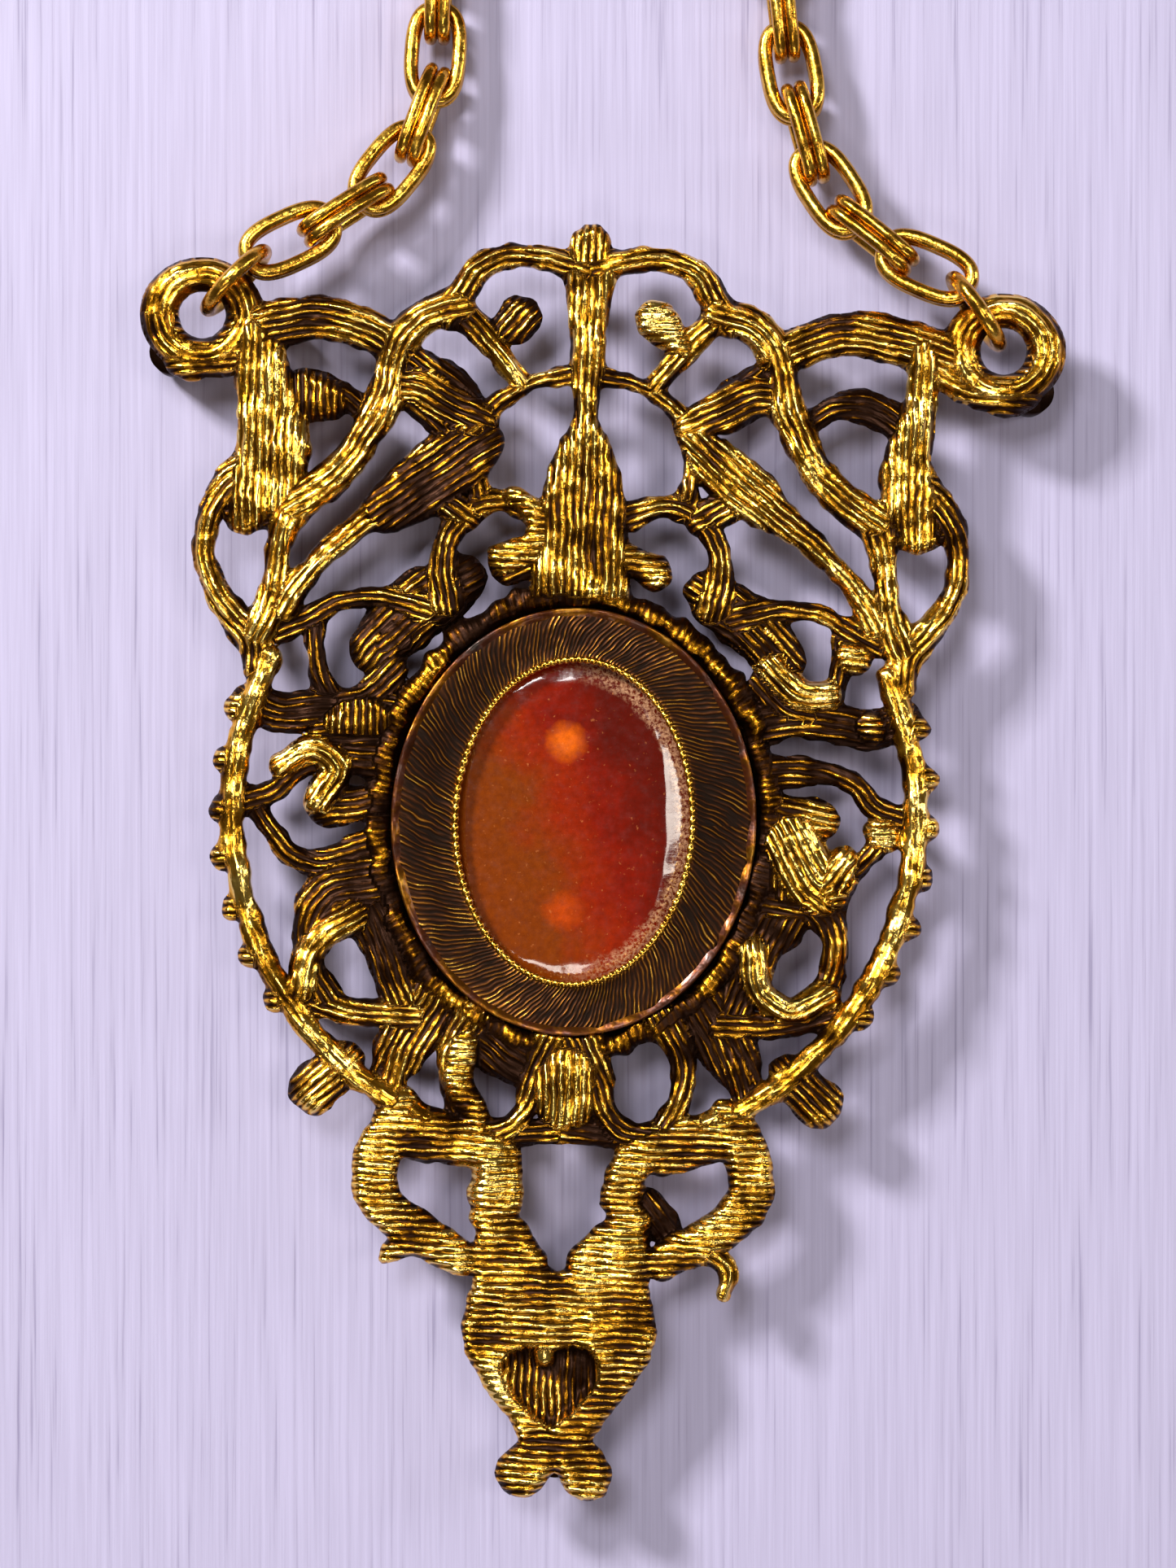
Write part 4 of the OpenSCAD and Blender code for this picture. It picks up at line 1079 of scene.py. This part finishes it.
@dataclass
class Plaque:
    """Openwork cast plaque: limbs, round frame, oval rim, corner eyes, shield and column."""

    stone_at: tuple[float, float] = (-1.5, 2.05)
    lean: float = -1.7
    back_z: float = 4.8
    front_z: float = 3.1
    frame_r: float = 17.5
    frame_w: float = 1.25
    rim: tuple[float, float] = (10.75, 12.25)
    recess: tuple[float, float] = (9.35, 10.95)
    right_eye: tuple[float, float] = (21.3, 24.75)
    left_eye: tuple[float, float] = (-19.8, 25.4)
    hole_r: float = 1.2
    eye_r: float = 2.95
    step: float = 0.16

    def placed(self, surface: Surface) -> Surface:
        """Move a surface from the stone's frame to the row frame."""
        points = turned(surface.points, "z", self.lean)
        return surface.moved(points + np.array([*self.stone_at, 0.0]))

    def relief(self) -> Relief:
        """Lay every limb of the plaque on one grid.

        Returns:
            The finished relief.
        """
        r = Relief((-24.5, -36.0), (26.0, 32.0), self.step, self.back_z, self.front_z)
        for limb in HALF_LIMBS:
            for side in (1.0, -1.0):
                r.stroke(limb, side)
        for limb in ODD_LIMBS:
            r.stroke(limb, 1.0)
        angle = np.radians(np.linspace(25.0, -68.0, 7))
        band = np.stack([self.frame_r * np.cos(angle), 0.5 + self.frame_r * np.sin(angle),
                         np.full(7, self.frame_w)], -1)
        beads = np.radians(23.5 - 8.2 * np.arange(8))
        for side in (1.0, -1.0):
            for a in beads:
                at = [18.0 * math.cos(a), 0.5 + 18.0 * math.sin(a), 1.44]
                r.stroke(Stroke([at, [at[0] + 0.02, at[1], 1.44]], 0.12, A, 0.68, 0.05), side)
            r.stroke(Stroke(band.tolist(), 0.0, A, 0.5, 0.22, 0.45), side)
            eye = self.right_eye if side > 0 else self.left_eye
            x, y = eye[0] * side, eye[1]
            r.stroke(Stroke([[17.0, 24.8, 2.6], [x - 1.6, y - 1.2, 3.4], [x + 0.2, y - 1.4, 4.0]],
                            0.1, A, 0.8), side)
        column = np.array(COLUMN)
        r.polygon(np.vstack([column, column[::-1] * [-1, 1]]), 0.05, 0.55, Groove.UPRIGHT, 0.1)
        shield = np.array(SHIELD)
        r.polygon(np.vstack([shield, [[0, -31.8]], shield[::-1] * [-1, 1], [[-0.2, -23.0]]]),
                  0.0, 0.5, Groove.LEVEL, 0.08)
        r.stroke(Stroke([[0.0, -13.2, 3.6], [0.0, -14.2, 3.4]], 0.0, U, 0.9, 0.2), 1.0)
        self.rim_and_holes(r)
        return r

    def rim_and_holes(self, r: Relief) -> None:
        """Add the oval rim and the eyes, cut their holes, and sink the pocket.

        Args:
            r: Relief that has the limbs.
        """
        whole = (slice(None), slice(None))
        outer = r.oval(r.x, r.y, *self.rim)
        inner = r.oval(r.x, r.y, *self.recess)
        flow = np.stack([np.arctan2(r.y, r.x) * 11.0, outer], -1)
        uneven = 0.2 * ripple(r.x, r.y, 2.4, 4.0) + 0.12 * ripple(r.x, r.y, 5.0, 1.0)
        r.lay(whole, np.maximum(outer, -inner) + uneven, 0.26, 0.7, flow, 0.02, 0.35)
        r.cut(inner, 0.25)
        for eye in (self.right_eye, self.left_eye):
            x, y = r.x - eye[0], r.y - eye[1]
            outer = r.oval(x, y, self.eye_r * 1.08, self.eye_r)
            hole = np.hypot(x, y) - self.hole_r
            flow = np.stack([np.hypot(x, y), np.arctan2(y, x) * 2.0], -1)
            r.lay(whole, np.maximum(outer, -hole), 0.0, 0.85, flow, 0.16, 0.6)
            r.cut(hole, 0.85)
        pocket = r.inside(np.array(POCKET), r.x, r.y)
        r.back = np.minimum(r.back, self.back_z - np.clip(-1.6 * pocket, 0.0, 0.6))
        r.flow = np.where((pocket < 0)[..., None], np.stack([r.x, r.y], -1), r.flow)
        r.tone = np.where(pocket < -0.1, -0.06, r.tone)
        r.stroke(POCKET_KNOB, 1.0)

    def shaded(self, r: Relief) -> None:
        """Set the tone from height: worn on crests, dark where the wash stayed.

        The tone is the limb's own, less its depth below the back, plus the
        height above the mean of its neighbourhood.  The limb's own tone is partly
        painted highlight and painted shade.

        Args:
            r: Relief to shade.
        """
        swell = 0.16 * ripple(r.x, r.y, 5.2, 2.2) + 0.06 * ripple(r.x, r.y, 1.9, 0.6)
        r.back = np.minimum(r.back + swell - 0.16, self.back_z)
        n = 5
        level = np.where(r.edge < 0, r.back, self.back_z - 0.9)
        mean = level.copy()
        for axis in (0, 1):
            mean = sum(np.roll(mean, k, axis) for k in range(-n, n + 1)) / (2 * n + 1)
        r.tone = (r.tone + 0.12 + 0.55 * np.clip(level - mean, -0.5, 0.4)
                  - 0.18 * (self.back_z - level))

    def ledge(self) -> Surface:
        """Ring that the bezel cup sits on: a flat band swept round the oval."""
        loop = np.array([[9.9, 8.3, 3.1], [11.4, 9.8, 3.1], [11.4, 9.8, 3.6], [9.9, 8.3, 3.6]])
        return oval_band(loop, 160)

    def feet(self) -> list[Surface]:
        """Three raised ends of the front, which the plaque lies on: a post with a round end."""
        a = np.radians(np.linspace(-90.0, 0.0, 9))
        profile = np.vstack([np.stack([1.1 * np.cos(a), 1.1 + 1.1 * np.sin(a)], -1),
                             [[1.1, 3.4], [0.0, 3.4]]])
        made = []
        for at in FEET:
            post = turned_solid(profile, 28, (1.0, 1.0))
            made.append(post.moved(post.points + np.array([*at, 0.0])))
        return made

    def build(self, finishes: Finishes) -> None:
        """Make the plaque.

        Args:
            finishes: Materials of the necklace.
        """
        r = self.relief()
        self.shaded(r)
        body = self.placed(Surface.joined([r.surface(), *self.feet()]))
        gold, slot = finishes.antiqued, "antiqued_gold"
        piece("plaque_openwork", outward(body), gold, "plaque", ("plaque",))
        piece("plaque_ledge", self.placed(self.ledge()), gold, "plaque")


def oval_band(loop: np.ndarray, count: int, wave: np.ndarray | None = None,
              tone: np.ndarray | None = None) -> Surface:
    """Closed band round an oval: each profile point is an ellipse of its own size.

    Args:
        loop: Profile points [half length, half width, z]; length runs along y.
        count: Samples round the oval.
        wave: Change of height at (sample, profile point), or None.
        tone: Tone at each profile point, or None.

    Returns:
        The closed surface.
    """
    a = np.arange(count) * TURN / count
    x = np.cos(a)[:, None] * loop[None, :, 1]
    y = np.sin(a)[:, None] * loop[None, :, 0]
    z = np.broadcast_to(loop[None, :, 2], x.shape) + (0.0 if wave is None else wave)
    mean = loop[:, :2].mean()
    reach = np.concatenate([loop[:, :2].mean(1), [loop[0, :2].mean()]])
    around = np.arange(count + 1) * TURN / count * mean
    flow = np.stack(np.broadcast_arrays(around[:, None], reach[None, :]), -1)
    if tone is not None:
        tone = np.stack(np.broadcast_arrays(tone[None, :], np.ones(x.shape)), -1)
    return outward(Surface.grid(np.stack([x, y, z], -1), flow, tone))


# --------------------------------------------------------------------------
# Setting and stone
# --------------------------------------------------------------------------

@dataclass
class BezelCup:
    """Pressed cup with a hatched floor, a milled bead round its window and a thin wall."""

    plaque: Plaque
    cup: tuple[float, float] = (10.8, 9.2)
    window: tuple[float, float] = (8.2, 5.95)
    wall: tuple[float, float] = (9.65, 7.15)
    seat: tuple[float, float] = (9.05, 6.55)
    floor_z: float = 4.3
    under_z: float = 3.6
    foot_z: float = 1.6
    bead: float = 0.2
    bead_gap: float = 0.42

    def floor(self) -> Surface:
        """The cup: one profile from the window over the floor and down the wall."""
        top, under, foot = self.floor_z, self.under_z, self.foot_z
        (cl, cw), (wl, ww), (ol, ow), (sl, sw) = self.cup, self.window, self.wall, self.seat
        loop = np.array([
            [wl, ww, top - 0.12], [wl + 0.1, ww + 0.1, top - 0.02],
            [wl + 0.45, ww + 0.45, top - 0.1], [wl + 0.9, ww + 1.2, top - 0.1],
            [cl - 0.9, cw - 1.1, top - 0.06], [cl - 0.3, cw - 0.3, top], [cl, cw, top - 0.05],
            [cl, cw, under], [ol, ow, under], [ol, ow, foot + 0.1], [ol - 0.1, ow - 0.1, foot],
            [sl + 0.1, sw + 0.1, foot], [sl, sw, foot + 0.1], [sl, sw, under], [wl, ww, under]])
        tone = np.array([0.5, 0.5, 0.0, -0.06, -0.04, 0.05, 0.0, 0, 0, 0, 0.1, 0.1, 0, 0, 0.1])
        return oval_band(loop, 320, tone=tone)

    def milling(self) -> Surface:
        """Beaded edge of the window: a wire whose radius swells once for every bead."""
        around = TURN * math.sqrt((self.window[0] ** 2 + self.window[1] ** 2) / 2.0)
        beads = round(around / self.bead_gap)
        count = beads * 8
        a = np.arange(count) * TURN / count
        path = np.stack([(self.window[1] + 0.12) * np.cos(a), (self.window[0] + 0.12) * np.sin(a),
                         np.full(count, self.floor_z - 0.04)], -1)
        swell = self.bead * (0.62 + 0.38 * np.abs(np.sin(a * beads / 2.0)))
        return tube(path, swell, 10, UP)

    def build(self, finishes: Finishes) -> None:
        """Make the cup and its beaded edge.

        Args:
            finishes: Materials of the necklace.
        """
        floor, edge = (self.plaque.placed(s) for s in (self.floor(), self.milling()))
        piece("bezel_cup_floor", floor, finishes.hatched, "plaque", ("bezel_cup",))
        piece("bezel_beaded_edge", edge, finishes.chain, "plaque")


@dataclass
class CementBead:
    """Cement that shows round the cup: a lumpy rope pressed between cup and rim."""

    plaque: Plaque
    inner: tuple[float, float] = (10.4, 8.8)
    outer: tuple[float, float] = (10.94, 9.34)
    low_z: float = 4.22
    high_z: float = 4.6

    def build(self, finishes: Finishes) -> None:
        """Make the bead: its height swells unevenly round the oval.

        Args:
            finishes: Materials of the necklace.
        """
        (il, iw), (ol, ow) = self.inner, self.outer
        low, high = self.low_z, self.high_z
        loop = np.array([[il, iw, low], [ol, ow, low], [ol, ow, high - 0.05],
                         [ol - 0.1, ow - 0.1, high - 0.02], [ol - 0.28, ow - 0.28, high - 0.12],
                         [il + 0.1, iw + 0.1, low + 0.1]])
        count = 260
        a = np.arange(count)[:, None] * TURN / count
        share = np.array([[0.0, 0.0, 1.0, 1.0, 0.9, 0.3]])
        wave = -0.11 * share * (1.0 + ripple(10.0 * np.cos(a), 11.0 * np.sin(a), 3.0, 0.7))
        bead = self.plaque.placed(oval_band(loop, count, wave))
        piece("cement_bead_amber", bead, finishes.cement, "plaque", ("cement_bead",))


@dataclass
class Cabochon:
    """Oval stone, back up: a flat polished table, a sloped bevel, a girdle and a low dome."""

    plaque: Plaque
    length: float = 18.0
    width: float = 13.0
    height: float = 3.6
    girdle: float = 1.0
    bevel: float = 0.35
    sides: int = 160

    def surface(self) -> Surface:
        """Rings from the dome's top to the middle of the table.

        Dome: a circle arc.  Table: a rounder-cornered oval, moved a little to
        the left, that blends into the stone's own oval down the bevel.

        Returns:
            The closed surface.
        """
        r = self.width / 2
        dome = self.height - self.girdle - self.bevel
        dome_r = (r * r + dome * dome) / (2 * dome)
        edge = math.asin(r / dome_r)
        a = np.linspace(0.0, edge, 16)[1:]
        rings = [(dome_r * math.sin(v) / r, dome_r * (1 - math.cos(v)), 0.0) for v in a]
        rings += [(1.0, dome + self.girdle * 0.5, 0.0), (0.995, dome + self.girdle, 0.0)]
        rings += [(0.97, self.height - self.bevel + 0.05, 0.15), (0.92, self.height - 0.16, 0.55),
                  (0.875, self.height - 0.05, 0.9), (0.85, self.height, 1.0)]
        rings += [(s, self.height, 1.0) for s in (0.83, 0.7, 0.5, 0.25)]
        t = np.arange(self.sides) * TURN / self.sides
        power = 2.0 / 2.7
        box_x = np.sign(np.cos(t)) * np.abs(np.cos(t)) ** power
        box_y = np.sign(np.sin(t)) * np.abs(np.sin(t)) ** power
        rows = []
        for s, z, share in rings:
            x = s * r * ((1 - share) * np.cos(t) + share * (0.93 * box_x - 0.07))
            y = s * self.length / 2 * ((1 - share) * np.sin(t) + share * 0.95 * box_y)
            uneven = 0.03 * share * ripple(x, y, 2.3, 5.0) if s > 0.84 else 0.0 * x
            rows.append(np.stack([x, y, np.minimum(z + uneven, self.height)], -1))
        return Surface.capped(np.array(rows), [0, 0, 0], [-0.1, 0, self.height])

    def build(self, finishes: Finishes) -> None:
        """Make the stone.

        Args:
            finishes: Materials of the necklace.
        """
        stone = self.plaque.placed(self.surface())
        piece("cabochon_stone", stone, finishes.stone, "plaque", ("cabochon",))


# --------------------------------------------------------------------------
# Chain
# --------------------------------------------------------------------------

FINE_RING = (56, 14)             # samples along and round the wire, where the view is near
PLAIN_RING = (36, 10)


def heading(angle: float, rise: float) -> np.ndarray:
    """Unit direction of a heading in the plane and a rise above it, in degrees."""
    h, r = math.radians(angle), math.radians(rise)
    return np.array([math.cos(h) * math.cos(r), math.sin(h) * math.cos(r), math.sin(r)])


@dataclass
class Strand:
    """One side of the chain: six single pairs of rings, then five runs of pairs.

    Steps are [heading, rise] of each single pair; runs are [pairs, heading of
    the first pair, turn from pair to pair].
    """

    name: str
    start: tuple[float, float]
    steps: list
    runs: list
    plaque: Plaque
    start_z: float = 3.69
    reach: float = 1.45
    pitch: float = 3.3
    link_l: float = 5.5
    link_w: float = 3.2
    wire: float = 0.74
    gap: float = 0.68
    fullness: float = 2.8        # power of the oval: two is an ellipse
    worn: float = 0.12           # share of the wire's height that wear took
    chain_z: float = 1.6

    def oval_ring(self, count: int, sides: int) -> Surface:
        """One ring, long axis along x: a full oval, |x/a|^p + |y/b|^p = 1, worn flat on top."""
        a, b = (self.link_l - self.wire) / 2, (self.link_w - self.wire) / 2
        t = np.arange(count) * TURN / count
        share = 2.0 / self.fullness
        x = a * np.sign(np.cos(t)) * np.abs(np.cos(t)) ** share
        y = b * np.sign(np.sin(t)) * np.abs(np.sin(t)) ** share
        path = np.stack([x, y, 0 * x], -1)
        radius = np.full(count, self.wire / 2)
        return tube(path, radius, sides, UP, self.worn)

    def pair(self, centre: np.ndarray, angle: float, rise: float, roll: float,
             fine: bool) -> list[Surface]:
        """Two rings side by side, rolled about the chain and turned to its heading."""
        ring = self.oval_ring(*(FINE_RING if fine else PLAIN_RING))
        made = []
        for side in (-1.0, 1.0):
            p = ring.points + np.array([0.0, 0.0, side * self.gap / 2])
            p = turned(turned(turned(p, "x", roll), "y", -rise), "z", angle) + centre
            made.append(ring.moved(p))
        return made

    def build(self, finishes: Finishes) -> None:
        """Make every pair and run of the strand.

        Args:
            finishes: Materials of the necklace.
        """
        at = np.array([self.start[0] + self.plaque.stone_at[0],
                       self.start[1] + self.plaque.stone_at[1], self.start_z])
        at = at + (self.reach + self.pitch / 2) * heading(*self.steps[0])
        for k, (angle, rise) in enumerate(self.steps):
            if k:
                at = at + self.pitch * heading(angle, rise)
            centre = at - self.pitch / 2 * heading(angle, rise)
            name = f"{self.name}_pair_{k + 1}"
            roll = 90.0 * (k % 2)
            piece(f"{name}_rings", Surface.joined(self.pair(centre, angle, rise, roll, True)),
                  finishes.chain, name, (name,))
        at = np.array([at[0], at[1], self.chain_z])
        for n, (count, first, turn) in enumerate(self.runs):
            rings: list[Surface] = []
            for i in range(count):
                angle = first + i * turn
                centre = at + self.pitch / 2 * heading(angle, 0.0)
                rings += self.pair(centre, angle, 0.0, 90.0 * (i % 2), n == 0)
                at = at + self.pitch * heading(angle, 0.0)
            name = f"{self.name}_run_{n + 1}"
            piece(f"{name}_rings", Surface.joined(rings), finishes.chain, name,
                  (name,))


@dataclass
class Fittings:
    """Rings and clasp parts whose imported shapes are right: they get their finish here."""

    nodes: dict

    def dress(self, finishes: Finishes) -> None:
        """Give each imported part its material.

        Args:
            finishes: Materials of the necklace.
        """
        gold = ("right_corner_ring", "left_corner_ring", "right_end_ring", "left_end_ring",
                "catch_plate", "clasp_housing", "clasp_bolt")
        for name in (*gold, "clasp_spring"):
            mesh = self.nodes[name].data
            material = finishes.steel if name == "clasp_spring" else finishes.chain
            mesh.materials.clear()
            mesh.materials.append(material)
            log.info("%s: packed shape, dressed in %s", name, material.name)


# --------------------------------------------------------------------------
# Studio
# --------------------------------------------------------------------------

@dataclass
class Studio:
    """Board, soft lights and camera."""

    centre: tuple[float, float] = (-0.77, 3.99)
    field: float = 80.3          # length of board that the long side of the view takes in
    lens: float = 100.0
    sensor: float = 36.0
    level: float = 4.0           # height that the field is measured at

    def camera(self) -> None:
        """Long lens, straight down."""
        data = bpy.data.cameras.new("camera")
        data.lens, data.sensor_width, data.sensor_fit = self.lens, self.sensor, "AUTO"
        away = self.field * self.lens / self.sensor
        camera = bpy.data.objects.new("camera", data)
        camera.location = (self.centre[0] * MM, self.centre[1] * MM, (away + self.level) * MM)
        bpy.context.scene.collection.objects.link(camera)
        bpy.context.scene.camera = camera

    def board(self, finishes: Finishes) -> None:
        """Flat board under the necklace."""
        half = 1.2
        mesh = bpy.data.meshes.new("board")
        mesh.from_pydata([(-half, -half, 0), (half, -half, 0), (half, half, 0), (-half, half, 0)],
                         [], [(0, 1, 2, 3)])
        mesh.materials.append(finishes.board)
        board = bpy.data.objects.new("board", mesh)
        bpy.context.scene.collection.objects.link(board)

    def light(self, name: str, place: tuple[float, float, float], size: tuple[float, float],
              power: float, colour: str) -> None:
        """Area light that looks at the middle of the plaque."""
        data = bpy.data.lights.new(name, "AREA")
        data.shape, data.size, data.size_y = "RECTANGLE", size[0], size[1]
        data.energy, data.color = power, linear(colour)[:3]
        lamp = bpy.data.objects.new(name, data)
        lamp.location = place
        way = -np.array(place)
        way /= np.linalg.norm(way)
        lamp.rotation_euler = (math.acos(-way[2]), 0.0, math.atan2(way[1], way[0]) - math.pi / 2)
        bpy.context.scene.collection.objects.link(lamp)

    def build(self, finishes: Finishes) -> None:
        """Set up board, lights, sky and camera.

        Args:
            finishes: Materials of the necklace.
        """
        self.camera()
        self.board(finishes)
        self.light("key_window", (-0.34, 0.30, 0.34), (0.09, 0.09), 4.6, "#FFFDF8")
        self.light("overhead", (-0.13, 0.22, 0.60), (0.18, 0.18), 2.0, "#FFFFFF")
        self.light("right_panel", (0.24, 0.02, 0.62), (0.12, 0.18), 0.7, "#FFF8EC")
        self.light("low_panel", (-0.06, -0.24, 0.60), (0.16, 0.10), 0.5, "#FFF8EC")
        self.light("right_strip", (0.42, 0.10, 0.20), (0.05, 0.30), 0.4, "#FFFFFF")
        self.light("low_strip", (0.05, -0.46, 0.26), (0.30, 0.05), 0.33, "#FBF8FF")
        world = bpy.data.worlds.new("soft_room")
        world.use_nodes = True
        world.node_tree.nodes["Background"].inputs["Color"].default_value = linear("#E6D2B4")
        world.node_tree.nodes["Background"].inputs["Strength"].default_value = 0.10
        bpy.context.scene.world = world
        bpy.context.scene.view_settings.view_transform = "Standard"


def main() -> None:
    """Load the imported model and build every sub-assembly in order."""
    logging.basicConfig(level=logging.INFO, format="%(name)s: %(message)s")
    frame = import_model()
    plaque = Plaque()
    finishes = Finishes(plaque.stone_at)
    Studio().build(finishes)
    plaque.build(finishes)
    BezelCup(plaque).build(finishes)
    CementBead(plaque).build(finishes)
    Cabochon(plaque).build(finishes)
    Strand("right", (19.43, 27.83),
           [[155.5, -6.2], [140.4, -9.4], [122.3, -9.9], [105, -4.5], [100, -6.3], [96.4, 0]],
           [[12, 95, -6.5], [12, 17, -6.5], [12, -61, -3], [12, -97, 0], [11, -99, -2]],
           plaque).build(finishes)
    Strand("left", (-15.85, 29.2),
           [[26, -6.8], [34, -9.4], [51.9, -7.6], [70.3, -8.1], [86.3, -5.2], [88.2, 0]],
           [[12, 89, 6.5], [12, 167, 6.5], [12, 245, 3], [12, 281, 0], [11, 283, 2]],
           plaque).build(finishes)
    Fittings(frame["nodes"]).dress(finishes)


if __name__ == "__main__":
    main()
